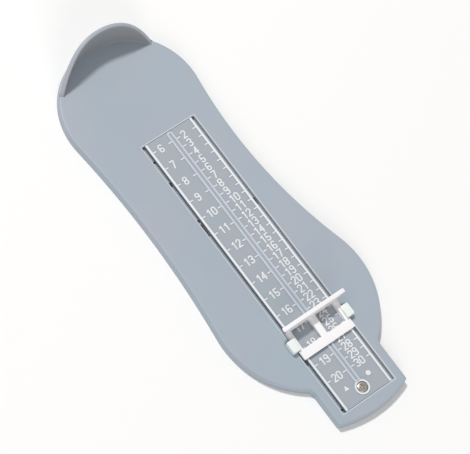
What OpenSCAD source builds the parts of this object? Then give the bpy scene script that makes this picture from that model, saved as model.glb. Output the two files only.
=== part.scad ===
// Child's foot-length gauge: a hollow foot-shaped sole with a raised heel wall,
// a scale plate screwed into a long channel, and a slider that runs along it.
//
// Drawing frame: x runs across the sole from the scale's centre line, y = -s where
// s is the distance from the inside of the heel wall towards the toes, z is up from
// the surface the gauge stands on. seat() then moves the whole part so that its
// origin is at the middle of its footprint.

/* [Sole] */
// Height of the sole's top face
sole_height = 5; // [4.75:0.25:8]
// Thickness of the sole's top wall
top_wall = 1.6; // [1.4:0.1:1.7]
// Thickness of the skirt round the edge
skirt_wall = 1.8; // [1.4:0.1:2.6]
// How far the skirt spreads out from the top face down to the ground
skirt_flare = 0.3; // [0.1:0.1:1]
// Radius of the heel end, outside
heel_radius = 36.7; // [34:0.1:39]
// Sideways place of the heel's centre
heel_shift = -5.8; // [-9:0.2:-4]
// Widest part of the forefoot
ball_width = 84.4; // [79:0.2:91]
// Radius of the forefoot's sides
ball_radius = 47.2; // [44:0.2:52]
// Sideways place of the forefoot's centre
ball_shift = -1.4; // [-4:0.2:1]
// Distance of the forefoot's widest line from the heel wall
ball_reach = 158.5; // [150:0.5:165]
// Radius of the hollow outer side of the waist
waist_radius_left = 492; // [300:4:800]
// Radius of the hollow inner side of the waist
waist_radius_right = 244; // [180:4:400]
// Width of the tail that carries the scale's end
tail_width = 42.6; // [40:0.2:48]
// Distance of the tail's corners from the heel wall
tail_reach = 219.8; // [218.6:0.2:224]
// How far the tail's end curves out past its corners
tail_bulge = 3.8; // [2:0.2:6]
// Radius of the corner between forefoot and tail
neck_radius = 5.6; // [3:0.2:9]

/* [Heel wall] */
// Thickness of the heel wall
heel_wall = 2.4; // [1.8:0.1:3]
// Height of the heel wall above the sole's top face
heel_rise = 19.4; // [14:0.2:26]
// Half of the angle that the heel wall covers
heel_half_angle = 52; // [42:1:62]
// Fullness of the heel wall's top edge (2 is a plain arch, more is flatter in the middle)
heel_fullness = 3.2; // [2.6:0.1:4]

/* [Channel] */
// Width of the channel's mouth
channel_width = 32.6; // [30.6:0.2:34.6]
// Start of the channel, measured from the heel wall
channel_start = 54.5; // [50:0.5:56]
// End of the channel, measured from the heel wall
channel_end = 216.5; // [216:0.25:217.5]
// Thickness of the channel's side walls
channel_wall = 1.5; // [1:0.1:2]
// Thickness of the channel's floor
floor_wall = 0.9; // [0.8:0.05:1.2]
// Gap between the channel's floor and the bridge that slides over it
floor_gap = 0.25; // [0.2:0.05:0.35]
// Width of the ledges and lugs that carry the plate's ends
ledge_width = 20; // [14:1:24]
// Length of the ledges that carry the plate's ends
ledge_length = 1.5; // [1:0.25:1.75]
// Radius of the post that takes the screw
post_radius = 3.2; // [2.6:0.1:3.4]
// Width of the windows in the channel's floor
floor_window_width = 2.5; // [2:0.1:3]
// Thickness of the ribs under the sole
rib_wall = 1.2; // [1:0.1:2]
// Depth of the ribs below the top wall
rib_depth = 1.8; // [1:0.1:2.2]

/* [Scale plate] */
// Thickness of the plate
plate_wall = 1; // [0.9:0.05:1.1]
// How far the plate's face lies below the sole's top face
plate_sink = 0.3; // [0.1:0.05:0.5]
// Open slot on either side of the plate
slot_width = 1.9; // [1.7:0.05:2.5]
// Gap between the plate's ends and the channel's ends
end_gap = 0.2; // [0.2:0.05:0.4]
// Width of the raised rims along the plate's edges
rim_width = 1.2; // [0.8:0.1:1.5]
// Height of the rims and the middle stem above the plate's face
rim_rise = 0.5; // [0.4:0.05:0.6]
// Width of the raised stem down the middle
stem_width = 3.4; // [2:0.2:3.6]
// Width of the groove in the stem
groove_width = 1.2; // [0.6:0.1:1.4]
// Outer radius of the round boss at the stem's end
boss_radius = 3.9; // [3.7:0.1:4.4]
// Radius of the boss's foot under the plate
boss_foot_radius = 3.4; // [3.2:0.05:3.5]
// How far the boss's foot reaches down below the plate
boss_drop = 0.4; // [0.3:0.05:0.5]
// Distance of the screw from the heel wall
screw_reach = 211; // [210.5:0.25:212]
// Height and reach of the lugs that hook under the sole's top wall
lug_size = 0.6; // [0.5:0.05:0.7]

/* [Screw] */
// Radius of the screw's head
head_radius = 2.8; // [2.4:0.1:2.8]
// Height of the screw's head
head_height = 1.3; // [1:0.1:1.4]
// Radius of the screw's shank
shank_radius = 1.25; // [1:0.05:1.4]
// Length of the shank below the head
shank_length = 2.2; // [1.8:0.1:2.4]

/* [Slider] */
// Reading of the slider at rest, from the heel wall to the toe stop
reading = 167.5; // [80:0.5:190]
// Half width of the slider's frame
frame_half = 15.9; // [15.6:0.1:16.4]
// Length of the slider's frame along the scale
frame_length = 17.6; // [17:0.1:19]
// Thickness of the toe stop
stop_wall = 2.2; // [1.8:0.1:2.6]
// Height of the toe stop above the plate's face
stop_rise = 10; // [8:0.25:12]
// Half width of the toe stop across its wing tips
stop_half = 19.2; // [18:0.2:20.5]
// Length of the low bar at the toe end of the frame
bar_length = 4.8; // [4:0.2:5]
// Height of the bar above the plate's face
bar_rise = 2; // [1.7:0.1:2.4]
// Height of the rails above the plate's face where they meet the toe stop
rail_rise = 3.2; // [2.8:0.1:3.6]
// Width of the frame's side rails
rail_width = 2.4; // [2.2:0.1:3]
// Width of the bar between the two windows
mullion_width = 3.6; // [3:0.2:4.4]
// Radius of the windows' outer corners at the toe stop
window_corner = 2; // [1:0.25:4]

/* [Carriage] */
// Thickness of the arms that pass through the slots
arm_wall = 1.2; // [1:0.05:1.2]
// Outer half width across the finger grips
grip_half = 19.25; // [18.5:0.25:22]
// Length of the finger grips along the scale
grip_length = 6.6; // [5.5:0.1:7]
// Distance from the toe stop's face to the grips
grip_offset = 5.9; // [5.5:0.1:6.3]
// Height of the grips above the plate's face
grip_rise = 3.8; // [3.4:0.1:4.6]
// Length of the bridge under the plate
bridge_length = 4; // [3:0.25:4.2]
// Distance from the toe stop's face to the bridge
bridge_offset = 2.5; // [2.4:0.1:2.7]
// Thickness of the bridge under the plate
bridge_wall = 0.8; // [0.7:0.05:0.9]
// Depth of the snap teeth that join frame and carriage
tooth_depth = 0.5; // [0.3:0.05:0.6]

/* [Markings] */
// Height of the raised figures and lines above the plate's face
mark_rise = 0.3; // [0.2:0.05:0.35]
// Width of one figure
figure_width = 2.6; // [2.3:0.05:2.7]
// Height of one figure
figure_height = 4.5; // [4:0.05:4.6]
// Thickness of the figures' strokes
stroke = 0.7; // [0.5:0.05:0.75]
// Gap between two figures of one number
figure_gap = 0.25; // [0.25:0.05:0.4]
// First number on the centimetre scale
first_centimetre = 6; // [6:1:9]
// Last number on the centimetre scale
last_centimetre = 20; // [14:1:20]
// First number on the size scale
first_size = 2; // [2:1:6]
// Last number on the size scale
last_size = 30; // [20:1:30]
// Thickness of the scale lines
line_wall = 0.6; // [0.4:0.05:0.7]
// Length of the scale lines at the plate's edges
edge_line = 1.8; // [1.4:0.1:2.2]
// Length of the scale lines beside the stem
stem_line = 1.9; // [1.4:0.1:2.2]
// Middle of the first figure in the centimetre numbers
centimetre_column = -8.7; // [-9:0.1:-8.5]
// Middle of the first figure in the size numbers
size_column = 5.5; // [5.2:0.1:6]
// How far a number of one figure stands to the right of its column
lone_shift = 0.4; // [0:0.1:0.8]

/* [Hidden] */

// Fineness of drawn curves, and of the very large waist circles
$fn = 64;
smooth = 180;
broad_curve = 900;
// Overlap that joins two bodies of one solid
bite = 0.4;
// Step between the sole's edge and the foot of the heel wall
guard_step = 0.05;
// Gap between parts that slide past each other
run_gap = 0.35;
// Gap above and below the plate for the slider
lift_gap = 0.3;
// Gap round parts that are pushed together and stay
seat_gap = 0.1;
// Gap round the screw's shank in its post
thread_gap = 0.02;

// One centimetre and one size step along the scale; the size scale's zero point
centimetre = 10;
size_step = 5;
size_zero = 50;

// Heights of the main faces above the ground
face_z = sole_height - plate_sink;
plate_under_z = face_z - plate_wall;
rim_z = face_z + rim_rise;
frame_z = rim_z + lift_gap;
bridge_z = plate_under_z - lift_gap - bridge_wall;
floor_z = bridge_z - floor_gap;
floor_under_z = floor_z - floor_wall;
boss_under_z = plate_under_z - boss_drop;
post_foot_z = floor_under_z - floor_wall + bite / 4;

// Plan positions, [x, s]
heel_inner_radius = heel_radius - heel_wall;
heel_centre = [heel_shift, heel_inner_radius];
ball_offset = ball_radius - ball_width / 2;
ball_right = [ball_shift - ball_offset, ball_reach];
ball_left = [ball_shift + ball_offset, ball_reach];
tail_half = tail_width / 2;
tail_end_radius = (tail_half * tail_half + tail_bulge * tail_bulge) / (2 * tail_bulge);
tail_end_centre = [0, tail_reach + tail_bulge - tail_end_radius];
waist_right = beside(heel_centre, heel_radius + waist_radius_right,
                     ball_right, ball_radius + waist_radius_right, 1);
waist_left = beside(heel_centre, heel_radius + waist_radius_left,
                    ball_left, ball_radius + waist_radius_left, -1);
channel_half = channel_width / 2;
plate_half = channel_half - slot_width;
plate_start = channel_start + end_gap;
plate_end = channel_end - end_gap;
lug_half = 2;

// Middle and length of the footprint
mid_x = ball_shift;
mid_s = (tail_reach + tail_bulge - heel_wall) / 2;
top_length = tail_reach + tail_bulge + heel_wall;

// Pilot hole, clearance hole and counterbore for the screw
pilot_radius = shank_radius + thread_gap;
clearance_radius = shank_radius + run_gap;
counterbore_radius = head_radius + seat_gap;
head_z = rim_z - head_height;
recess_width = head_radius / 4;
recess_depth = head_height / 2;
recess_span = head_radius * 1.2;

// The slider's arms, grips and windows
arm_inner = (plate_half + channel_half - arm_wall) / 2;
arm_outer = arm_inner + arm_wall;
notch_half = arm_inner - seat_gap;
window_outer = frame_half - rail_width;
window_inner = mullion_width / 2;
window_start = stop_wall;
window_end = frame_length - bar_length;
grip_z = sole_height + run_gap + seat_gap;
grip_round = 0.8;
wing_tip = 0.6;
wing_curve = 5;
tooth_length = grip_length / 2;
tooth_height = 0.8;
tooth_lift = 0.4;

// Ribs across the hollow underside, and windows in the channel's floor [side, s, length]
rib_places = [22, 42, 75, 100, 125, 150, 175, 196];
floor_windows = [
    [-1, 63.7, 1], [-1, 77.3, 2.5], [-1, 99.8, 1.5], [-1, 105.3, 7.2], [-1, 214.3, 1.5],
    [1, 106.4, 3.8]
];

// Centre of a circle that lies at two given distances from two points, on one side
function beside(p, p_dist, q, q_dist, side) =
    let (d = norm(q - p),
         along = (p_dist * p_dist - q_dist * q_dist + d * d) / (2 * d),
         aside = sqrt(p_dist * p_dist - along * along),
         u = (q - p) / d)
    p + along * u + side * aside * [u[1], -u[0]];

// Point where two touching circles meet
function touch(p, p_radius, q) = p + (q - p) * p_radius / norm(q - p);

// Centre of the round corner between the forefoot and the tail's side
function neck_centre(ball, side) =
    let (x = side * (tail_half + neck_radius),
         reach = ball_radius + neck_radius)
    [x, ball[1] + sqrt(reach * reach - pow(x - ball[0], 2))];

// Turns a plan point [x, s] into a drawing point [x, y]
function plan(p) = [p[0], -p[1]];

// Moves the drawing frame so that the origin is at the middle of the footprint
module seat() {
    translate([-mid_x, mid_s, 0]) children();
}

// A box given by its ranges along x, s and z
module block(x, s, z) {
    translate([x[0], -s[1], z[0]])
        cube([x[1] - x[0], s[1] - s[0], z[1] - z[0]]);
}

// The same shape on both sides of the scale's centre line
module both_sides() {
    children();
    mirror([1, 0, 0]) children();
}

// ---------------------------------------------------------------- sole

// A round disc in plan
module disc(centre, radius, fineness = smooth) {
    translate(plan(centre)) circle(r = radius, $fn = fineness);
}

// Flat region between the heel and the forefoot, before the waist is cut in
module trunk(grow) {
    heel_r = touch(heel_centre, heel_radius + grow, waist_right);
    heel_l = touch(heel_centre, heel_radius + grow, waist_left);
    ball_r = touch(ball_right, ball_radius + grow, waist_right);
    ball_l = touch(ball_left, ball_radius + grow, waist_left);
    polygon([plan(heel_l), plan(heel_r), plan(ball_r), plan(ball_l)]);
}

// Filled corner between the forefoot and one side of the tail
module neck(ball, side, grow) {
    centre = neck_centre(ball, side);
    start = touch(ball, ball_radius + grow, centre);
    end = [side * (tail_half + grow), centre[1]];
    difference() {
        polygon([plan(start), plan(end), plan([0, centre[1]]), plan([0, start[1]])]);
        disc(centre, neck_radius - grow);
    }
}

// Tail with its gently curved end
module tail(grow) {
    intersection() {
        translate([-tail_half - grow, -tail_reach - tail_half])
            square([tail_width + 2 * grow, 2 * tail_half + tail_reach - ball_reach]);
        disc(tail_end_centre, tail_end_radius + grow, broad_curve);
    }
}

// Plan outline of the whole sole, grown outwards or shrunk inwards
module sole_outline(grow) {
    difference() {
        union() {
            disc(heel_centre, heel_radius + grow);
            intersection() {
                disc(ball_left, ball_radius + grow);
                disc(ball_right, ball_radius + grow);
            }
            trunk(grow);
        }
        disc(waist_right, waist_radius_right - grow, broad_curve);
        disc(waist_left, waist_radius_left - grow, broad_curve);
    }
    tail(grow);
    neck(ball_right, 1, grow);
    neck(ball_left, -1, grow);
}

// Sole without its hollow: the outline at the top, spread out evenly down to the ground
module flared_sole() {
    spread = [1 + 2 * skirt_flare / ball_width, 1 + 2 * skirt_flare / top_length];
    translate([mid_x, -mid_s, sole_height])
        mirror([0, 0, 1])
            linear_extrude(height = sole_height, scale = spread, slices = 1)
                translate([-mid_x, mid_s]) sole_outline(0);
}

// Arched view of the heel wall from behind, flat in the middle and sloping down to both ends
module heel_arch() {
    half = heel_radius * sin(heel_half_angle);
    rise = function(t) 1 - pow(abs(t), heel_fullness);
    turns = [for (a = [-90 : 5 : 90]) sin(a)];
    polygon(concat(
        [[-half, -bite]],
        [for (t = turns) [half * t, heel_rise * rise(t)]],
        [[half, -bite]]
    ));
}

// Wall that the heel is set against
module heel_guard() {
    intersection() {
        translate([heel_centre[0], -heel_centre[1], sole_height - bite])
            difference() {
                cylinder(r = heel_radius - guard_step, h = heel_rise + 2 * bite, $fn = smooth);
                translate([0, 0, -bite])
                    cylinder(r = heel_inner_radius, h = heel_rise + 4 * bite, $fn = smooth);
            }
        translate([heel_centre[0], heel_radius, sole_height])
            rotate([90, 0, 0])
                linear_extrude(height = heel_centre[1] + heel_radius)
                    heel_arch();
    }
}

// Channel under the scale plate: side walls, floor, ledges and the screw's post
module channel_tray() {
    outer = channel_half + channel_wall;
    difference() {
        block([-outer, outer], [channel_start - channel_wall, channel_end + channel_wall],
              [floor_under_z, sole_height - top_wall + bite]);
        block([-channel_half, channel_half], [channel_start, channel_end],
              [floor_z, sole_height]);
        for (w = floor_windows)
            floor_window(w[0], w[1], w[2]);
    }
    ledge_half = ledge_width / 2;
    block([-ledge_half, ledge_half], [channel_start - bite, channel_start + ledge_length],
          [floor_z - bite, plate_under_z]);
    block([-ledge_half, ledge_half], [channel_end - ledge_length, channel_end + bite],
          [floor_z - bite, plate_under_z]);
    translate([0, -screw_reach, post_foot_z])
        cylinder(r = post_radius, h = boss_under_z - post_foot_z);
}

// Window in the channel's floor, below one of the slots
module floor_window(side, s, length) {
    inner = channel_half - floor_window_width;
    x = side > 0 ? [inner, channel_half] : [-channel_half, -inner];
    block(x, [s - length / 2, s + length / 2], [floor_under_z - bite, floor_z + bite]);
}

// Ribs that stiffen the top wall from below, outside the channel
module ribs() {
    outer = channel_half + channel_wall - bite;
    reach = ball_width;
    under = sole_height - top_wall;
    intersection() {
        for (s = rib_places)
            block([-reach, reach], [s - rib_wall / 2, s + rib_wall / 2],
                  [under - rib_depth, under + bite]);
        linear_extrude(height = sole_height)
            difference() {
                sole_outline(-skirt_wall + bite);
                translate([-outer, -channel_end - bite])
                    square([2 * outer, channel_end - channel_start + 2 * bite]);
            }
    }
}

// Pockets in the channel's heel end that hold the plate's lugs
module lug_pockets() {
    for (x = [-1, 1])
        translate([x * ledge_width / 4, 0, 0])
            block([-lug_half - seat_gap, lug_half + seat_gap],
                  [channel_start - lug_size, channel_start + bite],
                  [plate_under_z, plate_under_z + lug_size + seat_gap]);
}

// Foot-shaped moulding with skirt, heel wall, channel and ribs
module sole_body() {
    color("lightsteelblue") seat() {
        difference() {
            union() {
                difference() {
                    flared_sole();
                    translate([0, 0, -bite])
                        linear_extrude(height = sole_height - top_wall + bite)
                            sole_outline(-skirt_wall);
                    block([-channel_half, channel_half], [channel_start, channel_end],
                          [floor_z, sole_height + bite]);
                }
                heel_guard();
                channel_tray();
                ribs();
            }
            lug_pockets();
            translate([0, -screw_reach, head_z - shank_length - seat_gap])
                cylinder(r = pilot_radius, h = sole_height);
        }
    }
}

// ---------------------------------------------------------------- scale plate

// Plate with rims, grooved stem and the boss for the screw
module scale_plate() {
    color("powderblue") seat() {
        stem_half = stem_width / 2;
        groove_half = groove_width / 2;
        stem_start = plate_start + stem_half + end_gap;
        difference() {
            union() {
                block([-plate_half, plate_half], [plate_start, plate_end],
                      [plate_under_z, face_z]);
                both_sides()
                    block([plate_half - rim_width, plate_half], [plate_start, plate_end],
                          [face_z - bite, rim_z]);
                block([-stem_half, stem_half], [stem_start, screw_reach],
                      [face_z - bite, rim_z]);
                translate([0, -stem_start, face_z - bite])
                    cylinder(r = stem_half, h = rim_rise + bite);
                translate([0, -screw_reach, face_z - bite])
                    cylinder(r = boss_radius, h = rim_rise + bite);
                translate([0, -screw_reach, boss_under_z])
                    cylinder(r = boss_foot_radius, h = boss_drop + bite);
                for (x = [-1, 1])
                    translate([x * ledge_width / 4, 0, 0])
                        block([-lug_half, lug_half],
                              [channel_start - lug_size + seat_gap, plate_start + bite],
                              [plate_under_z, plate_under_z + lug_size]);
            }
            block([-groove_half, groove_half], [stem_start, screw_reach - boss_radius],
                  [face_z + rim_rise / 3, rim_z + bite]);
            translate([0, -screw_reach, boss_under_z - bite])
                cylinder(r = clearance_radius, h = boss_drop + plate_wall + rim_rise + 2 * bite);
            translate([0, -screw_reach, head_z])
                cylinder(r = counterbore_radius, h = head_height + bite);
        }
    }
}

// Cross-recess screw that holds the plate's toe end down
module plate_screw() {
    edge = head_height / 4;
    color("silver") seat()
        translate([0, -screw_reach, head_z])
            difference() {
                union() {
                    rotate_extrude($fn = smooth)
                        polygon([[0, 0], [head_radius, 0], [head_radius, head_height - 2 * edge],
                                 [head_radius - edge / 2, head_height - edge / 2],
                                 [head_radius - 2 * edge, head_height], [0, head_height]]);
                    translate([0, 0, -shank_length + shank_radius])
                        cylinder(r = shank_radius, h = shank_length - shank_radius + bite);
                    translate([0, 0, -shank_length])
                        cylinder(r1 = shank_radius / 4, r2 = shank_radius, h = shank_radius);
                }
                for (turn = [0, 90])
                    rotate([0, 0, turn])
                        translate([-recess_span / 2, -recess_width / 2, head_height - recess_depth])
                            cube([recess_span, recess_width, recess_depth + bite]);
            }
}

// ---------------------------------------------------------------- slider

// Moves a shape drawn from the toe stop's face to the slider's reading
module at_reading() {
    translate([0, -reading, 0]) children();
}

// Front view of the toe stop, with a wing on either side
module stop_outline() {
    base = frame_z;
    top = face_z + stop_rise;
    wing_z = top - wing_curve - wing_tip;
    translate([-frame_half, base]) square([2 * frame_half, top - base]);
    both_sides()
        difference() {
            union() {
                translate([frame_half - bite, wing_z])
                    square([stop_half - wing_tip - frame_half + bite, top - wing_z]);
                translate([stop_half - wing_tip, top - wing_tip]) circle(r = wing_tip);
            }
            translate([frame_half + wing_curve, wing_z]) circle(r = wing_curve, $fn = smooth);
        }
}

// Side view of the rails, sloping down from the toe stop to the bar
module rail_outline() {
    polygon([
        [0, frame_z], [frame_length, frame_z], [frame_length, face_z + bar_rise],
        [window_end, face_z + bar_rise], [stop_wall, face_z + rail_rise], [0, face_z + rail_rise]
    ]);
}

// One window with a round outer corner beside the toe stop
module window() {
    r = window_corner;
    width = window_outer - window_inner;
    length = window_end - window_start;
    translate([window_inner, -window_end]) {
        square([width, length - r]);
        square([width - r, length]);
        translate([width - r, length - r]) circle(r = r);
    }
}

// White frame with the toe stop, two windows and the bar
module slider_frame() {
    color("white") seat() at_reading() {
        difference() {
            union() {
                translate([frame_half, 0, 0])
                    rotate([90, 0, -90])
                        linear_extrude(height = 2 * frame_half) rail_outline();
                rotate([90, 0, 0])
                    linear_extrude(height = stop_wall) stop_outline();
            }
            both_sides() {
                translate([0, 0, frame_z - bite])
                    linear_extrude(height = stop_rise) window();
                block([notch_half, frame_half + bite],
                      [grip_offset - seat_gap, grip_offset + grip_length + seat_gap],
                      [frame_z - bite, face_z + stop_rise]);
            }
        }
        both_sides() snap_tooth(0, notch_half - bite);
    }
}

// Tooth on the frame, or with a gap the pocket for it in the carriage's arm
module snap_tooth(gap, inner) {
    middle = grip_offset + grip_length / 2;
    half = tooth_length / 2 + gap;
    z = frame_z + tooth_lift;
    block([inner, notch_half + tooth_depth + gap], [middle - half, middle + half],
          [z - gap, z + tooth_height + gap]);
}

// Plan of one grip, its two outer corners rounded
module grip_outline() {
    r = grip_round;
    length = grip_length;
    translate([arm_inner, -grip_offset - length]) {
        square([grip_half - arm_inner - r, length]);
        translate([0, r]) square([grip_half - arm_inner, length - 2 * r]);
        for (y = [r, length - r])
            translate([grip_half - arm_inner - r, y]) circle(r = r);
    }
}

// Carriage: a bridge under the plate, arms through the slots and the two finger grips
module slider_carriage() {
    arm_end = grip_offset + grip_length;
    color("mintcream") seat() at_reading() {
        block([-arm_outer, arm_outer], [bridge_offset, bridge_offset + bridge_length],
              [bridge_z, bridge_z + bridge_wall]);
        both_sides()
            difference() {
                union() {
                    block([arm_inner, arm_outer], [bridge_offset, arm_end],
                          [bridge_z, sole_height]);
                    block([arm_inner, arm_outer], [grip_offset, arm_end],
                          [sole_height - bite, face_z + grip_rise]);
                    translate([0, 0, grip_z])
                        linear_extrude(height = face_z + grip_rise - grip_z) grip_outline();
                }
                snap_tooth(seat_gap, arm_inner - bite);
            }
    }
}

// ---------------------------------------------------------------- figures and lines

// Half width and half height of a figure's centre line
reach_x = (figure_width - stroke) / 2;
reach_y = (figure_height - stroke) / 2;
bowl = reach_y / 2;

// Straight stroke between two points, with round ends
module bar_stroke(p, q) {
    d = q - p;
    translate(p) rotate(atan2(d[1], d[0])) translate([0, -stroke / 2]) square([norm(d), stroke]);
    for (end = [p, q])
        translate(end) circle(d = stroke, $fn = 24);
}

// Curved stroke round a centre, from one angle up to another, with round ends
module arc_stroke(centre, radius, from, to) {
    far = 2 * radius + stroke;
    steps = ceil((to - from) / 60);
    translate(centre) {
        intersection() {
            difference() {
                circle(r = radius + stroke / 2, $fn = 48);
                circle(r = radius - stroke / 2, $fn = 48);
            }
            polygon(concat([[0, 0]], [
                for (i = [0 : steps])
                    let (a = from + (to - from) * i / steps)
                    far * [cos(a), sin(a)]
            ]));
        }
        for (a = [from, to])
            translate(radius * [cos(a), sin(a)]) circle(d = stroke, $fn = 24);
    }
}

// Full ring, for the closed loops of 6, 8 and 9
module ring(centre) {
    translate(centre)
        difference() {
            circle(r = bowl + stroke / 2, $fn = 48);
            circle(r = bowl - stroke / 2, $fn = 48);
        }
}

// Plan of one figure, drawn about its middle
module figure(digit) {
    x = reach_x;
    y = reach_y;
    high = [0, y - bowl];
    low = [0, bowl - y];
    if (digit == 0) {
        arc_stroke(high, bowl, 0, 180);
        arc_stroke(low, bowl, 180, 360);
        bar_stroke([-bowl, high[1]], [-bowl, low[1]]);
        bar_stroke([bowl, high[1]], [bowl, low[1]]);
    }
    if (digit == 1) {
        bar_stroke([x / 3, y], [x / 3, -y]);
        bar_stroke([x / 3, y], [-x / 2, y * 0.6]);
    }
    if (digit == 2) {
        arc_stroke(high, bowl, -30, 165);
        bar_stroke(high + bowl * [cos(30), -sin(30)], [-x, -y]);
        bar_stroke([-x, -y], [x, -y]);
    }
    if (digit == 3) {
        arc_stroke(high, bowl, -90, 150);
        arc_stroke(low, bowl, -150, 90);
    }
    if (digit == 4) {
        bar_stroke([x / 2, y], [x / 2, -y]);
        bar_stroke([x / 2, y], [-x, -y / 3]);
        bar_stroke([-x, -y / 3], [x, -y / 3]);
    }
    if (digit == 5) {
        bar_stroke([-x * 0.8, y], [x * 0.8, y]);
        bar_stroke([-x * 0.8, y], low + bowl * [cos(140), sin(140)]);
        arc_stroke(low, bowl, -150, 140);
    }
    if (digit == 6) {
        ring(low);
        bar_stroke([-bowl, low[1]], [-bowl, high[1]]);
        arc_stroke(high, bowl, 30, 180);
    }
    if (digit == 7) {
        bar_stroke([-x, y], [x, y]);
        bar_stroke([x, y], [-x / 4, -y]);
    }
    if (digit == 8) {
        ring(high);
        ring(low);
    }
    if (digit == 9) {
        ring(high);
        bar_stroke([bowl, high[1]], [bowl, low[1]]);
        arc_stroke(low, bowl, 210, 360);
    }
}

// A whole number of one or two figures, the first one on its column at distance s
module number(value, column, s) {
    pitch = figure_width + figure_gap;
    tens = floor(value / 10);
    ones = value % 10;
    translate([column, -s, face_z])
        linear_extrude(height = mark_rise)
            if (tens > 0) {
                figure(tens);
                translate([pitch, 0]) figure(ones);
            } else {
                translate([lone_shift, 0]) figure(ones);
            }
}

// Numbers of the centimetre scale
module centimetre_numbers() {
    color("white") seat()
        for (value = [first_centimetre : last_centimetre])
            number(value, centimetre_column, value * centimetre);
}

// Numbers of the size scale
module size_numbers() {
    color("white") seat()
        for (value = [first_size : last_size])
            number(value, size_column, size_zero + value * size_step);
}

// One pair of scale lines: at the plate's edge and beside the stem
module line_pair(side, s) {
    rim_x = plate_half - rim_width;
    stem_x = stem_width / 2;
    x_edge = [rim_x - edge_line, rim_x];
    x_stem = [stem_x, stem_x + stem_line];
    mirror([side < 0 ? 1 : 0, 0, 0])
        for (x = [x_edge, x_stem])
            block(x, [s - line_wall / 2, s + line_wall / 2], [face_z, face_z + mark_rise]);
}

// Lines of the centimetre scale
module centimetre_lines() {
    color("white") seat()
        for (value = [first_centimetre : last_centimetre])
            line_pair(-1, value * centimetre);
}

// Lines of the size scale
module size_lines() {
    color("white") seat()
        for (value = [first_size : last_size])
            line_pair(1, size_zero + value * size_step);
}

// Plain triangle and dot at the foot of the two columns
module column_marks() {
    half = figure_width / 2;
    between = (figure_width + figure_gap) / 2;
    s = last_centimetre * centimetre + figure_height + size_step / 2;
    color("white") seat() {
        translate([centimetre_column + between, -s, face_z])
            linear_extrude(height = mark_rise)
                polygon([[-half, -half], [half, -half], [0, half]]);
        translate([size_column + between, -s, face_z])
            cylinder(r = half, h = mark_rise);
    }
}

sole_body();
scale_plate();
plate_screw();
slider_frame();
slider_carriage();
centimetre_numbers();
size_numbers();
centimetre_lines();
size_lines();
column_marks();
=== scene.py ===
"""Child's foot-length gauge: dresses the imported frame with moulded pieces, finishes, light and a camera.

Shapes are drawn in millimetres in the gauge's drawing frame: x across from the scale's
centre line, y = -s where s runs from the inside of the heel wall towards the toes, and
z up from the ground. Each finished mesh is then moved to the middle of the footprint and
turned into metres, so its object sits at the origin.
"""

import logging
import math
from dataclasses import dataclass
from enum import Enum
from typing import Callable, Iterable, Optional, Sequence, TypeVar

import bmesh
import bpy
from mathutils import Matrix, Vector


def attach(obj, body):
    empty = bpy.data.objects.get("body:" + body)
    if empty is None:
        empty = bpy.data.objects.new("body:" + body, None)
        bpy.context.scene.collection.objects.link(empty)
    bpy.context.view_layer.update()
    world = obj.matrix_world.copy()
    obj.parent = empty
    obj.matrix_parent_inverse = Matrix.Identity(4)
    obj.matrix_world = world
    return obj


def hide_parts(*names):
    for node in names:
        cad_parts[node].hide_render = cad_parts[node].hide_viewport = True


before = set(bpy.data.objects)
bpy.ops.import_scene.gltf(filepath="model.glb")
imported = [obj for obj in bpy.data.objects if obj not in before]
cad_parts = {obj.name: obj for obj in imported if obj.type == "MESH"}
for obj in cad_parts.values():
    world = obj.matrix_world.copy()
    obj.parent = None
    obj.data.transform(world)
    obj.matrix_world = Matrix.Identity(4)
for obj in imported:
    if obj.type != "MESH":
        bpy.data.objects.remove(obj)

Vert = bmesh.types.BMVert
Edge = bmesh.types.BMEdge
Face = bmesh.types.BMFace
Range = tuple[float, float]
Colour = tuple[float, float, float]
Item = TypeVar("Item")

LOG = logging.getLogger("gauge")
MM = 0.001
# Two places closer than this, in millimetres, count as one.
SAME = 1e-3
# How far a shape reaches into its neighbour, in millimetres, so that no gap shows between them.
BITE = 0.2
# Faces smaller than this, in square millimetres, are closed up over the distance beside it.
SLIVER_AREA, SLIVER_REACH = 1e-7, 0.02


class Body(Enum):
    """The two rigid bodies of the gauge."""

    SOLE = "sole"
    SLIDER = "slider"


class Side(Enum):
    """Left or right of the scale's centre line."""

    LEFT = -1
    RIGHT = 1

    def across(self, inner: float, outer: float) -> Range:
        """Range across the gauge between two distances from the centre line, on this side."""
        low, high = sorted((self.value * inner, self.value * outer))
        return low, high


def unique(items: Iterable[Item]) -> list[Item]:
    """The items without repeats, in the order in which they first come."""
    return list(dict.fromkeys(items))


def bearing(centre: Vector, towards: Vector) -> float:
    """Direction from one plan point to another, in radians."""
    gap = towards - centre
    return math.atan2(gap.y, gap.x)


def turn(start: float, end: float, forward: bool) -> float:
    """Signed angle from one bearing to another, counter-clockwise if forward."""
    full = (end - start) % (2 * math.pi)
    return full if forward else full - 2 * math.pi


# ------------------------------------------------------------------ workbench


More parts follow.
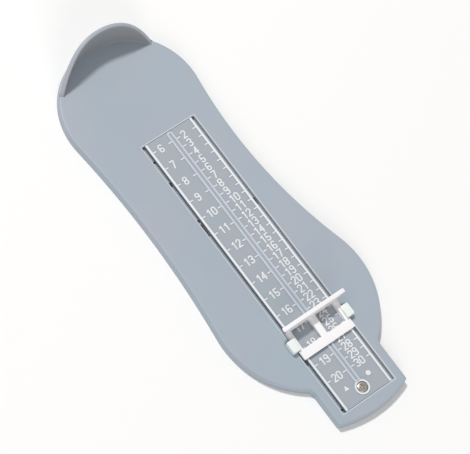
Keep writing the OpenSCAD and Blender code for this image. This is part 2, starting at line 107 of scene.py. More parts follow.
@dataclass(frozen=True)
class Datum:
    """The drawing frame's place in the gauge's own frame, and the heights of the main faces.

    All values are in millimetres, the heights above the ground.
    """

    middle_x: float = -1.4
    middle_s: float = 110.6
    sole_top: float = 5.0
    plate_face: float = 4.7
    plate_under: float = 3.7
    boss_under: float = 3.3
    head_seat: float = 3.9
    rim_top: float = 5.2
    frame_under: float = 5.5
    grip_under: float = 5.45
    bridge: Range = (2.6, 3.4)
    floor: Range = (1.45, 2.35)
    post_foot: float = 0.65
    screw_s: float = 211.0
    reading: float = 167.5

    def matrix(self) -> Matrix:
        """Drawing frame in millimetres to the gauge's frame in metres."""
        return Matrix.Diagonal((MM, MM, MM, 1.0)) @ Matrix.Translation(self.seated((0.0, 0.0, 0.0)))

    def seated(self, point: Sequence[float]) -> Vector:
        """A drawing point in the gauge's own frame, still in millimetres."""
        return Vector((-self.middle_x, self.middle_s, 0.0)) + Vector(point)

    def screw_axis(self) -> Vector:
        """Plan point of the screw's axis."""
        return Vector((0.0, -self.screw_s))


class Bench:
    """A mesh under construction, shaped with operators in the drawing frame."""

    def __init__(self) -> None:
        """Starts with an empty mesh."""
        self.bm = bmesh.new()

    def slab(self, x: Range, s: Range, z: Range) -> list[Vert]:
        """Adds a box.

        Args:
            x: Range across the gauge.
            s: Range from the heel wall towards the toes.
            z: Range above the ground.

        Returns:
            The box's vertices.
        """
        size = Vector((x[1] - x[0], s[1] - s[0], z[1] - z[0]))
        centre = Vector((sum(x), -sum(s), sum(z))) / 2
        made = bmesh.ops.create_cube(self.bm, size=1.0)["verts"]
        bmesh.ops.scale(self.bm, vec=size, verts=made)
        bmesh.ops.translate(self.bm, vec=centre, verts=made)
        return made

    def step(self, vert: Vert, x: float, y: float) -> Vert:
        """Draws a straight edge from a vertex to a new point at the same height.

        Args:
            vert: Vertex that the edge starts from.
            x: Place of the new point across the gauge.
            y: Place of the new point along the gauge.

        Returns:
            The new vertex.
        """
        made = bmesh.ops.extrude_vert_indiv(self.bm, verts=[vert])["verts"][0]
        made.co = Vector((x, y, vert.co.z))
        return made

    def sweep(self, vert: Vert, centre: Vector, angle: float, steps: int) -> Vert:
        """Draws an arc from a vertex round an upright axis.

        Args:
            vert: Vertex that the arc starts from.
            centre: Plan point of the axis.
            angle: Signed angle of the arc, in radians.
            steps: Number of edges in the arc.

        Returns:
            The arc's last vertex.
        """
        spun = bmesh.ops.spin(
            self.bm,
            geom=[vert],
            cent=(centre.x, centre.y, vert.co.z),
            axis=(0.0, 0.0, 1.0),
            angle=angle,
            steps=steps,
            use_duplicate=False,
        )
        return [g for g in spun["geom_last"] if isinstance(g, Vert)][0]

    def chain(self, draw: Callable[[], None]) -> list[Edge]:
        """Runs a drawing routine, merges the ends of what it drew and gives back its edges.

        Args:
            draw: Routine that draws one chain of edges.

        Returns:
            The new edges.
        """
        before = set(self.bm.verts)
        draw()
        drawn = [v for v in self.bm.verts if v not in before]
        bmesh.ops.remove_doubles(self.bm, verts=drawn, dist=SAME)
        kept = {v for v in drawn if v.is_valid}
        return [e for e in self.bm.edges if kept.issuperset(e.verts)]

    def cover(self, edges: Sequence[Edge]) -> Face:
        """Closes a loop of edges with one face that looks up.

        Args:
            edges: The loop.

        Returns:
            The face.
        """
        face = bmesh.ops.contextual_create(self.bm, geom=list(edges))["faces"][0]
        face.normal_update()
        if face.normal.z < 0:
            face.normal_flip()
        return face

    def patch(self, edges: Sequence[Edge], up: bool = True) -> None:
        """Fills a flat region with holes.

        Args:
            edges: The loops of edges that bound it.
            up: Whether the new faces look up.
        """
        bmesh.ops.triangle_fill(
            self.bm,
            use_beauty=True,
            use_dissolve=False,
            edges=list(edges),
            normal=(0.0, 0.0, 1.0 if up else -1.0),
        )

    def inset(self, face: Face, width: float) -> None:
        """Draws a band of even width inside a face's border, and leaves the face within it."""
        bmesh.ops.inset_region(self.bm, faces=[face], thickness=width, use_even_offset=True)

    def pull(self, edges: Sequence[Edge], dz: float, spread: Optional[Matrix] = None) -> list[Edge]:
        """Draws a wall from a loop of edges straight up or down.

        Args:
            edges: Loop that the wall starts from.
            dz: Height of the wall, below zero for a wall that goes down.
            spread: Further transform of the wall's far edge, if any.

        Returns:
            The loop at the wall's far end.
        """
        made = bmesh.ops.extrude_edge_only(self.bm, edges=list(edges))["geom"]
        verts = [g for g in made if isinstance(g, Vert)]
        bmesh.ops.translate(self.bm, vec=(0.0, 0.0, dz), verts=verts)
        if spread is not None:
            bmesh.ops.transform(self.bm, matrix=spread, verts=verts)
        far = set(verts)
        return [g for g in made if isinstance(g, Edge) and far.issuperset(g.verts)]

    def raise_faces(self, faces: Sequence[Face], dz: float) -> list[Face]:
        """Extrudes a group of faces up or down as one block.

        Args:
            faces: Faces to extrude.
            dz: How far they go.

        Returns:
            The faces at their new height.
        """
        made = bmesh.ops.extrude_face_region(self.bm, geom=list(faces))["geom"]
        verts = [g for g in made if isinstance(g, Vert)]
        bmesh.ops.translate(self.bm, vec=(0.0, 0.0, dz), verts=verts)
        bmesh.ops.delete(self.bm, geom=list(faces), context="FACES")
        return [g for g in made if isinstance(g, Face)]

    def cut(self, seed: Vert, point: Vector, normal: Vector) -> None:
        """Scores one connected shape along a plane, without taking any of it away.

        Args:
            seed: Any vertex of the shape.
            point: A point on the plane.
            normal: The plane's direction.
        """
        verts = self.island([seed])
        edges = unique(e for v in verts for e in v.link_edges)
        faces = unique(f for v in verts for f in v.link_faces)
        bmesh.ops.bisect_plane(
            self.bm, geom=verts + edges + faces, dist=SAME / 100, plane_co=point, plane_no=normal
        )

    def score(self, seed: Vert, xs: Sequence[float], ss: Sequence[float]) -> None:
        """Scores a shape along upright planes across x and along s.

        Args:
            seed: Any vertex of the shape.
            xs: Places of the planes across the gauge.
            ss: Distances of the planes from the heel wall.
        """
        for x in xs:
            self.cut(seed, Vector((x, 0.0, 0.0)), Vector((1.0, 0.0, 0.0)))
        for s in ss:
            self.cut(seed, Vector((0.0, -s, 0.0)), Vector((0.0, 1.0, 0.0)))

    def island(self, verts: Iterable[Vert]) -> list[Vert]:
        """Finds all vertices that hang together with the given ones.

        Args:
            verts: Where the search starts. Vertices that are gone are passed over.

        Returns:
            The vertices.
        """
        found = unique(v for v in verts if v.is_valid)
        seen = set(found)
        for vert in found:
            fresh = [o for o in (e.other_vert(vert) for e in vert.link_edges) if o not in seen]
            seen.update(fresh)
            found.extend(unique(fresh))
        return found

    def faces_in(self, seed: Vert, x: Range, s: Range, up: bool = True) -> list[Face]:
        """Level faces of one shape whose middle lies in a plan rectangle.

        Args:
            seed: Any vertex of the shape.
            x: Range across the gauge.
            s: Range from the heel wall towards the toes.
            up: True for faces that look up, False for faces that look down.

        Returns:
            The faces.
        """
        level = 0.9
        found = []
        for face in unique(f for v in self.island([seed]) for f in v.link_faces):
            face.normal_update()
            middle = face.calc_center_median()
            inside = x[0] < middle.x < x[1] and s[0] < -middle.y < s[1]
            if inside and (face.normal.z if up else -face.normal.z) > level:
                found.append(face)
        return found

    def pierce(self, seed: Vert, x: Range, s: Range) -> list[Edge]:
        """Opens a window, or a notch in an edge, right through a scored slab.

        Args:
            seed: Any vertex of the slab that stays.
            x: Range of the window across the gauge.
            s: Range of the window along the gauge.

        Returns:
            The upright edges at the window's corners.
        """
        gone = self.faces_in(seed, x, s) + self.faces_in(seed, x, s, up=False)
        outline = unique(e for f in gone for e in f.edges)
        rim = set(outline)
        upright = [
            f
            for f in unique(f for e in outline for f in e.link_faces)
            if f not in gone and all(e in rim or self.is_upright(e) for e in f.edges)
        ]
        bmesh.ops.delete(self.bm, geom=gone + upright, context="FACES")
        loops = [e for e in outline if e.is_valid and len(e.link_faces) == 1]
        walls = bmesh.ops.bridge_loops(self.bm, edges=loops)["faces"]
        return [
            e
            for e in unique(e for f in walls for e in f.edges)
            if self.is_upright(e)
            and any(abs(e.verts[0].co.x - v) < SAME for v in x)
            and any(abs(-e.verts[0].co.y - v) < SAME for v in s)
        ]

    @staticmethod
    def is_upright(edge: Edge) -> bool:
        """Whether an edge runs straight up."""
        a, b = (v.co for v in edge.verts)
        return abs(a.z - b.z) > SAME / 10 and (a.xy - b.xy).length < SAME

    def soften(self, edges: Iterable[Edge], width: float, segments: int = 2) -> None:
        """Rounds edges over.

        Args:
            edges: Edges to round. Edges that are gone are passed over.
            width: Radius of the rounding.
            segments: Number of steps in it.
        """
        bmesh.ops.bevel(
            self.bm,
            geom=[e for e in edges if e.is_valid],
            offset=width,
            offset_type="OFFSET",
            segments=segments,
            profile=0.5,
            affect="EDGES",
            clamp_overlap=True,
            material=-1,
        )

    def crisp_edges(
        self, verts: Optional[Iterable[Vert]] = None, degrees: float = 40.0
    ) -> list[Edge]:
        """Edges that turn by more than an angle.

        Args:
            verts: Any vertices of the shape to search, or None for the whole mesh.
            degrees: Smallest angle between the two faces at an edge.

        Returns:
            The edges.
        """
        limit = math.radians(degrees)
        edges = self.bm.edges if verts is None else unique(
            e for v in self.island(verts) for e in v.link_edges
        )
        return [e for e in edges if len(e.link_faces) == 2 and e.calc_face_angle(0.0) > limit]

    def lathe(
        self, centre: Vector, profile: Sequence[tuple[float, float]], steps: int, closed: bool = True
    ) -> list[Vert]:
        """Turns a profile into a body round an upright axis.

        Args:
            centre: Plan point of the axis.
            profile: Radius and height of each corner of the profile, in order.
            steps: Number of steps in the full turn.
            closed: Whether the profile's last corner is joined to its first.

        Returns:
            The vertices of the turned body.
        """
        verts = [self.bm.verts.new((centre.x + r, centre.y, z)) for r, z in profile]
        pairs = list(zip(verts, verts[1:])) + ([(verts[-1], verts[0])] if closed else [])
        edges = [self.bm.edges.new(pair) for pair in pairs]
        bmesh.ops.spin(
            self.bm,
            geom=verts + edges,
            cent=(centre.x, centre.y, 0.0),
            axis=(0.0, 0.0, 1.0),
            angle=2 * math.pi,
            steps=steps,
            use_merge=True,
            use_duplicate=False,
        )
        ring = self.island(verts)
        bmesh.ops.remove_doubles(self.bm, verts=ring, dist=SAME / 10)
        return [v for v in ring if v.is_valid]

    def done(self, name: str, datum: Datum, sharp: float = 32.0) -> bpy.types.Object:
        """Turns the mesh into an object at the origin.

        Args:
            name: Name of the piece.
            datum: Where the drawing frame lies.
            sharp: Angle in degrees above which an edge stays sharp.

        Returns:
            The new object.
        """
        bmesh.ops.dissolve_degenerate(self.bm, dist=SAME / 10, edges=self.bm.edges)
        slivers = {f for f in self.bm.faces if f.calc_area() < SLIVER_AREA}
        thin = [v for v in self.bm.verts if not slivers.isdisjoint(v.link_faces)]
        bmesh.ops.remove_doubles(self.bm, verts=thin, dist=SLIVER_REACH)
        bmesh.ops.recalc_face_normals(self.bm, faces=self.bm.faces)
        bmesh.ops.transform(self.bm, matrix=datum.matrix(), verts=self.bm.verts)
        mesh = bpy.data.meshes.new(name)
        self.bm.to_mesh(mesh)
        self.bm.free()
        mesh.shade_smooth()
        mesh.set_sharp_from_angle(angle=math.radians(sharp))
        made = bpy.data.objects.new(name, mesh)
        bpy.context.scene.collection.objects.link(made)
        return made


def dress(
    piece: bpy.types.Object,
    body: Body,
    material: bpy.types.Material,
    stands_for: Optional[str] = None,
) -> None:
    """Gives a piece its finish and lets it ride on its body.

    Args:
        piece: Piece to dress.
        body: Body that carries it.
        material: Its finish.
        stands_for: CAD node that it stands for, if any.
    """
    piece.data.materials.clear()
    piece.data.materials.append(material)
    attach(piece, body.value)
    if stands_for is not None:
        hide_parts(stands_for)
    LOG.info("%s: %d faces on body %s", piece.name, len(piece.data.polygons), body.value)


# ------------------------------------------------------------------ the sole


@dataclass(frozen=True)
class SoleOutline:
    """Foot-shaped plan of the sole, made of arcs that touch, in millimetres."""

    heel_radius: float = 36.7
    heel_wall: float = 2.4
    heel_shift: float = -5.8
    ball_width: float = 84.4
    ball_radius: float = 47.2
    ball_shift: float = -1.4
    ball_reach: float = 158.5
    waist_left: float = 492.0
    waist_right: float = 244.0
    tail_half: float = 21.3
    tail_reach: float = 219.8
    tail_bulge: float = 3.8
    neck: float = 5.6
    arc_steps: tuple[int, ...] = (8, 40, 32, 72, 32, 40, 8)
    tail_steps: int = 24

    def heel_centre(self) -> Vector:
        """Plan point of the heel's centre."""
        return Vector((self.heel_shift, self.heel_wall - self.heel_radius))

    def ball_centre(self, side: Side) -> Vector:
        """Plan point of the centre of one side of the forefoot."""
        offset = self.ball_radius - self.ball_width / 2
        return Vector((self.ball_shift - side.value * offset, -self.ball_reach))

    def waist_radius(self, side: Side) -> float:
        """Radius of one hollow side of the waist."""
        return self.waist_left if side is Side.LEFT else self.waist_right

    def waist_centre(self, side: Side) -> Vector:
        """Finds where the circle of a hollow side stands that touches heel and forefoot.

        Args:
            side: Left or right.

        Returns:
            The circle's centre in plan.
        """
        heel, ball = self.heel_centre(), self.ball_centre(side)
        to_heel = self.heel_radius + self.waist_radius(side)
        to_ball = self.ball_radius + self.waist_radius(side)
        gap = ball - heel
        along = (to_heel**2 - to_ball**2 + gap.length**2) / (2 * gap.length)
        aside = math.sqrt(to_heel**2 - along**2)
        ahead = gap.normalized()
        return heel + ahead * along - side.value * aside * Vector((ahead.y, -ahead.x))

    def neck_centre(self, side: Side) -> Vector:
        """Finds the centre of the rounded corner between forefoot and tail.

        Args:
            side: Left or right.

        Returns:
            The centre in plan.
        """
        ball = self.ball_centre(side)
        x = side.value * (self.tail_half + self.neck)
        reach = self.ball_radius + self.neck
        return Vector((x, ball.y - math.sqrt(reach**2 - (x - ball.x) ** 2)))

    def tail_circle(self) -> tuple[Vector, float]:
        """Centre and radius of the tail's curved end."""
        radius = (self.tail_half**2 + self.tail_bulge**2) / (2 * self.tail_bulge)
        return Vector((0.0, radius - self.tail_reach - self.tail_bulge)), radius

    def tail_corner(self, side: Side, grow: float) -> Vector:
        """Finds one corner at the tail's end.

        Args:
            side: Left or right.
            grow: How far the outline is grown outwards.

        Returns:
            The corner in plan.
        """
        centre, radius = self.tail_circle()
        x = side.value * (self.tail_half + grow)
        return Vector((x, centre.y - math.sqrt((radius + grow) ** 2 - x**2)))

    def half_width(self, side: Side, s: float, grow: float) -> float:
        """Distance of the outline from the centre line at one place along the gauge.

        Args:
            side: Left or right.
            s: Distance from the heel wall.
            grow: How far the outline is grown outwards.

        Returns:
            The distance across x, with its sign.
        """
        y, sign = -s, side.value
        heel, ball = self.heel_centre(), self.ball_centre(side)
        waist, neck = self.waist_centre(side), self.neck_centre(side)
        arcs = (
            (heel, self.heel_radius + grow, sign, heel, self.heel_radius, waist),
            (waist, self.waist_radius(side) - grow, -sign, ball, self.ball_radius, waist),
            (ball, self.ball_radius + grow, sign, ball, self.ball_radius, neck),
        )
        for centre, radius, way, knob, reach, towards in arcs:
            last = knob.lerp(towards, reach / (towards - knob).length)
            if y > last.y:
                return centre.x + way * math.sqrt(max(radius**2 - (y - centre.y) ** 2, 0.0))
        return sign * (self.tail_half + grow)

    def draw(self, bench: Bench, grow: float, z: float) -> list[Edge]:
        """Draws the outline as one closed loop.

        Args:
            bench: Mesh to draw in.
            grow: How far the outline is grown outwards, or shrunk inwards below zero.
            z: Height above the ground.

        Returns:
            The loop's edges.
        """
        right, left = (
            [self.neck_centre(side), self.ball_centre(side), self.waist_centre(side)]
            for side in (Side.RIGHT, Side.LEFT)
        )
        centres = [*right, self.heel_centre(), *reversed(left)]
        starts = [math.pi] + [bearing(b, a) for a, b in zip(centres, centres[1:])]
        ends = [bearing(a, b) for a, b in zip(centres, centres[1:])] + [0.0]
        first, last = (self.tail_corner(side, grow) for side in (Side.RIGHT, Side.LEFT))
        tail, _ = self.tail_circle()

        def path() -> None:
            """Draws the arcs in order, from the tail's right corner round the heel."""
            v = bench.bm.verts.new((first.x, first.y, z))
            v = bench.step(v, centres[0].x - self.neck + grow, centres[0].y)
            for i, (centre, steps) in enumerate(zip(centres, self.arc_steps)):
                v = bench.sweep(v, centre, turn(starts[i], ends[i], i % 2 == 1), steps)
            v = bench.step(v, last.x, last.y)
            bench.sweep(v, tail, turn(bearing(tail, last), bearing(tail, first), True), self.tail_steps)

        return bench.chain(path)


@dataclass(frozen=True)
class SoleMoulding:
    """The hollow moulding that carries everything: top wall, skirt, heel wall, channel and ribs."""

    datum: Datum
    outline: SoleOutline = SoleOutline()
    top_wall: float = 1.6
    skirt_wall: float = 1.8
    flare: float = 0.3
    rim_band: float = 1.6
    edge_round: float = 0.6
    mouth_round: float = 0.25
    corner_round: float = 0.7
    heel_rise: float = 19.4
    heel_half_angle: float = 52.0
    heel_fullness: float = 3.2
    guard_step: float = 0.02
    guard_base: float = 0.5
    guard_sink: float = 0.3
    guard_sink_below: float = 2.0
    guard_levels: int = 10
    guard_steps: int = 72
    rim_steps: int = 10
    cove: float = 0.7
    cove_steps: int = 4
    channel_half: float = 16.3
    channel: Range = (54.5, 216.5)
    channel_wall: float = 1.5
    joint_lap: float = 0.02
    ledge_half: float = 10.0
    ledge_length: float = 1.5
    ledge_round: float = 0.15
    post_radius: float = 3.2
    post_chamfer: float = 0.2
    pilot_radius: float = 1.27
    window_width: float = 2.5
    windows: tuple[tuple[Side, float, float], ...] = (
        (Side.LEFT, 63.7, 1.0),
        (Side.LEFT, 77.3, 2.5),
        (Side.LEFT, 99.8, 1.5),
        (Side.LEFT, 105.3, 7.2),
        (Side.LEFT, 214.3, 1.5),
        (Side.RIGHT, 106.4, 3.8),
    )
    ribs: tuple[float, ...] = (22.0, 42.0, 75.0, 100.0, 125.0, 150.0, 175.0, 196.0)
    rib_wall: float = 1.2
    rib_depth: float = 1.8
    rib_round: float = 0.25

    def spread(self) -> Matrix:
        """Widens the skirt's lower edge about the middle of the footprint.

        Returns:
            The transform.
        """
        plan = self.outline
        length = plan.tail_reach + plan.tail_bulge + plan.heel_wall
        middle = Vector((self.datum.middle_x, -self.datum.middle_s, 0.0))
        wider = Matrix.Diagonal(
            (1 + 2 * self.flare / plan.ball_width, 1 + 2 * self.flare / length, 1.0, 1.0)
        )
        return Matrix.Translation(middle) @ wider @ Matrix.Translation(-middle)

    def mouth(self, bench: Bench, z: float) -> list[Edge]:
        """Draws the channel's rectangular mouth.

        Args:
            bench: Mesh to draw in.
            z: Height above the ground.

        Returns:
            The loop's edges.
        """
        half, (start, end) = self.channel_half, self.channel

        def path() -> None:
            """Draws the four sides."""
            v = bench.bm.verts.new((half, -end, z))
            for x, y in ((half, -start), (-half, -start), (-half, -end), (half, -end)):
                v = bench.step(v, x, y)

        return bench.chain(path)

    def shell(self, bench: Bench) -> None:
        """Builds the top wall and the skirt as one closed skin.

        Args:
            bench: Mesh to build in.
        """
        sole_top = self.datum.sole_top
        rim = self.outline.draw(bench, 0.0, sole_top)
        top = bench.cover(rim)
        foot = bench.pull(rim, -sole_top, self.spread())
        bench.inset(top, self.rim_band)
        field_edges = list(top.edges)
        bmesh.ops.delete(bench.bm, geom=[top], context="FACES_ONLY")
        upper = self.mouth(bench, sole_top)
        bench.patch(field_edges + upper)
        corners = [
            e for e in bench.crisp_edges() if abs(e.verts[0].co.z - e.verts[1].co.z) > sole_top / 2
        ]
        ground = bench.cover(foot)
        ground.normal_flip()
        bench.inset(ground, self.skirt_wall + self.flare)
        inner = list(ground.edges)
        bmesh.ops.delete(bench.bm, geom=[ground], context="FACES_ONLY")
        ceiling = bench.pull(inner, sole_top - self.top_wall)
        lower = bench.pull(upper, -self.top_wall)
        bench.patch(ceiling + lower, up=False)
        bench.soften(corners, self.corner_round, 3)
        upper_edges = [
            e
            for e in bench.crisp_edges(degrees=50.0)
            if all(abs(v.co.z - sole_top) < SAME / 10 for v in e.verts)
        ]
        at_mouth = [e for e in upper_edges if all(self.at_mouth(v) for v in e.verts)]
        bench.soften([e for e in upper_edges if e not in at_mouth], self.edge_round, 4)
        bench.soften(at_mouth, self.mouth_round, 3)

    def at_mouth(self, vert: Vert) -> bool:
        """Tells whether a vertex lies on the channel's mouth.

        Args:
            vert: Vertex at the height of the sole's top.

        Returns:
            True if it does.
        """
        near = 10 * SAME
        start, end = self.channel
        across = abs(vert.co.x) < self.channel_half + near
        return across and start - near < -vert.co.y < end + near

    def arch(self, t: float) -> float:
        """Height of the heel wall at a share of its half width."""
        return self.heel_rise * max(1.0 - abs(t) ** self.heel_fullness, 0.0)

    def guard_section(self) -> list[tuple[float, float]]:
        """Works out the heel wall's section at its highest place.

        Returns:
            Radius and height of each corner: up the outer face, over the rounded rim, down
            the inner face and out along the cove at its foot.
        """
        outer = self.outline.heel_radius - self.guard_step
        inner = self.outline.heel_radius - self.outline.heel_wall
        middle, rim = (outer + inner) / 2, (outer - inner) / 2
        base = self.datum.sole_top
        shoulder = base + self.heel_rise - rim
        foot = base - self.top_wall + self.guard_sink
        low, high, levels = base + self.guard_base, base + self.cove, self.guard_levels
        section = [(outer, foot)]
        section += [(outer, low + (shoulder - low) * i / levels) for i in range(levels + 1)]
        for i in range(1, self.rim_steps):
            a = math.pi * i / self.rim_steps
            section.append((middle + rim * math.cos(a), shoulder + rim * math.sin(a)))
        section += [(inner, shoulder - (shoulder - high) * i / levels) for i in range(levels + 1)]
        for i in range(1, self.cove_steps + 1):
            a = math.pi / 2 * i / self.cove_steps
            r = inner - self.cove * (1 - math.cos(a))
            section.append((r, base + self.cove * (1 - math.sin(a)) - self.joint_lap))
        return section + [(inner - self.cove, foot)]

    def guard(self, bench: Bench) -> None:
        """Builds the arched heel wall with its rounded rim and the small cove at its foot.

        Args:
            bench: Mesh to build in.
        """
        centre, base = self.outline.heel_centre(), self.datum.sole_top
        outer = self.outline.heel_radius - self.guard_step
        half_chord = self.outline.heel_radius * math.sin(math.radians(self.heel_half_angle))
        sweep = math.asin(half_chord / outer)
        axis = (centre.x, centre.y, 0.0)
        verts = [bench.bm.verts.new((centre.x, centre.y + r, z)) for r, z in self.guard_section()]
        face = bench.bm.faces.new(verts)
        bmesh.ops.rotate(bench.bm, cent=axis, matrix=Matrix.Rotation(sweep, 3, "Z"), verts=verts)
        bmesh.ops.spin(
            bench.bm,
            geom=[face],
            cent=axis,
            axis=(0.0, 0.0, 1.0),
            angle=-2 * sweep,
            steps=self.guard_steps,
            use_duplicate=False,
        )
        climb = self.heel_rise - (self.outline.heel_wall - self.guard_step) / 2 - self.guard_base
        for vert in bench.island(verts):
            arm = vert.co.xy - centre
            t = math.sin(math.atan2(arm.x, arm.y) / sweep * math.pi / 2)
            turned = math.asin(max(-1.0, min(1.0, t * half_chord / outer)))
            vert.co.x = centre.x + arm.length * math.sin(turned)
            vert.co.y = centre.y + arm.length * math.cos(turned)
            arch = self.arch(t)
            above = min(max((vert.co.z - base - self.cove) / (climb - self.cove), 0.0), 1.0)
            sunk = self.guard_sink * (1 - min(arch / self.guard_sink_below, 1.0))
            vert.co.z -= (self.heel_rise - arch) * above + sunk

    def tray(self, bench: Bench) -> None:
        """Builds the channel's floor with its windows, side walls, ledges and screw post.

        Args:
            bench: Mesh to build in.
        """
        half, wall, (start, end) = self.channel_half, self.channel_wall, self.channel
        under, floor = self.datum.floor
        x_all, s_all = (-half - wall, half + wall), (start - wall, end + wall)
        seed = bench.slab(x_all, s_all, (under, floor))[0]
        inner = half - self.window_width
        places = sorted({s + way * length / 2 for _, s, length in self.windows for way in (-1, 1)})
        bench.score(seed, [-half, -inner, inner, half], [start, end, *places])
        for side, s, length in self.windows:
            bench.pierce(seed, side.across(inner, half), (s - length / 2, s + length / 2))
        border = []
        for face in bench.faces_in(seed, x_all, s_all):
            middle = face.calc_center_median()
            if abs(middle.x) > half or not start < -middle.y < end:
                border.append(face)
        bench.raise_faces(border, self.datum.sole_top - self.top_wall - floor + self.joint_lap)
        lap = BITE / 2
        for s in ((start - lap, start + self.ledge_length), (end - self.ledge_length, end + lap)):
            across = (-self.ledge_half, self.ledge_half)
            made = bench.slab(across, s, (floor - lap, self.datum.plate_under))
            bench.soften(bench.crisp_edges(made), self.ledge_round)
        r, pilot, foot = self.post_radius, self.pilot_radius, self.datum.post_foot
        rest, chamfer = self.datum.boss_under, self.post_chamfer
        post = [(pilot, foot), (r - chamfer, foot), (r, foot + chamfer), (r, rest), (pilot, rest)]
        bench.lathe(self.datum.screw_axis(), post, 40)

    def underside(self, bench: Bench) -> None:
        """Builds the ribs below the top wall, on both sides of the channel.

        Args:
            bench: Mesh to build in.
        """
        under = self.datum.sole_top - self.top_wall
        inner = self.channel_half + self.channel_wall - BITE
        for s in self.ribs:
            for side in Side:
                edge = abs(self.outline.half_width(side, s, BITE - self.skirt_wall))
                split = inner if self.channel[0] < s < self.channel[1] else 0.0
                made = bench.slab(
                    side.across(split, edge),
                    (s - self.rib_wall / 2, s + self.rib_wall / 2),
                    (under - self.rib_depth, under + BITE / 2),
                )
                lower = [e for e in bench.crisp_edges(made) if all(v.co.z < under for v in e.verts)]
                bench.soften(lower, self.rib_round)

    def build(self, finish: bpy.types.Material, wall_finish: bpy.types.Material) -> None:
        """Builds and dresses the moulding's pieces.

        Args:
            finish: Finish of the moulded plastic.
            wall_finish: Finish of the heel wall, with painted shade on its inner face.
        """
        pieces = {
            "sole_shell": (self.shell, finish, "sole_body"),
            "heel_wall": (self.guard, wall_finish, None),
            "channel_tray": (self.tray, finish, None),
            "underside_ribs": (self.underside, finish, None),
        }
        for name, (shape, material, stands_for) in pieces.items():
            bench = Bench()
            shape(bench)
            dress(bench.done(name, self.datum), Body.SOLE, material, stands_for)


# ------------------------------------------------------------------ the scale plate


@dataclass(frozen=True)
class ScalePlate:
    """The plate in the channel, with its rims, grooved stem, screw boss and lugs."""

    datum: Datum
    half: float = 14.4
    span: Range = (54.7, 216.3)
    rim_width: float = 1.2
    stem_half: float = 1.7
    stem_span: Range = (56.6, 207.6)
    groove_half: float = 0.6
    groove_depth: float = 0.33
    boss: float = 3.9
    boss_foot: float = 3.4
    boss_lap: float = 0.05
    counterbore: float = 2.9
    clearance: float = 1.6
    hole_half: float = 2.7
    lug_x: float = 5.0
    lug_half: float = 2.0
    lug_reach: float = 0.7
    lug_height: float = 0.6
    edge: float = 0.12

    def slab(self, bench: Bench) -> None:
        """Builds the flat plate with its two raised rims.

        Args:
            bench: Mesh to build in.
        """
        face, top = self.datum.plate_face, self.datum.rim_top
        seed = bench.slab((-self.half, self.half), self.span, (self.datum.plate_under, face))[0]
        rim, hole = self.half - self.rim_width, self.hole_half
        around = (self.datum.screw_s - hole, self.datum.screw_s + hole)
        bench.score(seed, [-rim, rim, -hole, hole], around)
        bench.pierce(seed, (-hole, hole), around)
        for side in Side:
            bench.raise_faces(bench.faces_in(seed, side.across(rim, self.half), self.span), top - face)
        rims = [e for e in bench.crisp_edges([seed]) if all(v.co.z > top - SAME for v in e.verts)]
        bench.soften(rims, self.edge)

    def boss_ring(self, bench: Bench) -> None:
        """Builds the ring that holds the screw, with the counterbore for its head.

        Args:
            bench: Mesh to build in.
        """
        top, edge = self.datum.rim_top, self.edge
        low, foot, seat = self.datum.plate_under + self.boss_lap, self.datum.boss_under, self.datum.head_seat
        section = [(self.clearance, foot), (self.boss_foot, foot), (self.boss_foot, low)]
        section += [(self.boss, low), (self.boss, top - edge), (self.boss - edge, top)]
        section += [(self.counterbore + edge, top), (self.counterbore, top - edge)]
        section += [(self.counterbore, seat), (self.clearance, seat)]
        bench.lathe(self.datum.screw_axis(), section, 48)

    def lugs(self, bench: Bench) -> None:
        """Builds the two lugs that reach under the sole at the heel end.

        Args:
            bench: Mesh to build in.
        """
        under, start = self.datum.plate_under, self.span[0]
        for x in (-self.lug_x, self.lug_x):
            bench.slab(
                (x - self.lug_half, x + self.lug_half),
                (start - self.lug_reach, start + BITE),
                (under, under + self.lug_height),
            )

    def stem(self, bench: Bench) -> None:
        """Builds the round-ended stem with its groove.

        Args:
            bench: Mesh to build in.
        """
        half, (start, end) = self.stem_half, self.stem_span
        rim_top = self.datum.rim_top

        def path() -> None:
            """Draws the stem's outline, apart from its toe end."""
            v = bench.bm.verts.new((half, -end, rim_top))
            v = bench.step(v, half, -start)
            v = bench.sweep(v, Vector((0.0, -start)), math.pi, 16)
            bench.step(v, -half, -end)

        outline = bench.chain(path)
        toe_end = [v for v in bench.bm.verts if abs(v.co.y + end) < SAME]
        outline.append(bench.bm.edges.new(toe_end))
        top = bench.cover(outline)
        foot = bench.pull(outline, self.datum.plate_face - rim_top - BITE)
        bench.cover(foot).normal_flip()
        bench.inset(top, half - self.groove_half)
        bench.raise_faces([top], -self.groove_depth)
        ridge = [e for e in bench.crisp_edges() if all(v.co.z > rim_top - SAME for v in e.verts)]
        bench.soften(ridge, self.edge)

    def build(self, finish: bpy.types.Material, bare: bpy.types.Material) -> None:
        """Builds and dresses the plate.

        Args:
            finish: Finish of the plate, with its stamped tops.
            bare: Finish of the stem, with a painted highlight on its top that leaves its groove darker.
        """
        stem, plate = Bench(), Bench()
        self.stem(stem)
        dress(stem.done("scale_stem", self.datum), Body.SOLE, bare)
        self.slab(plate)
        self.boss_ring(plate)
        self.lugs(plate)
        made = plate.done("scale_plate_moulding", self.datum)
        dress(made, Body.SOLE, finish, "scale_plate")


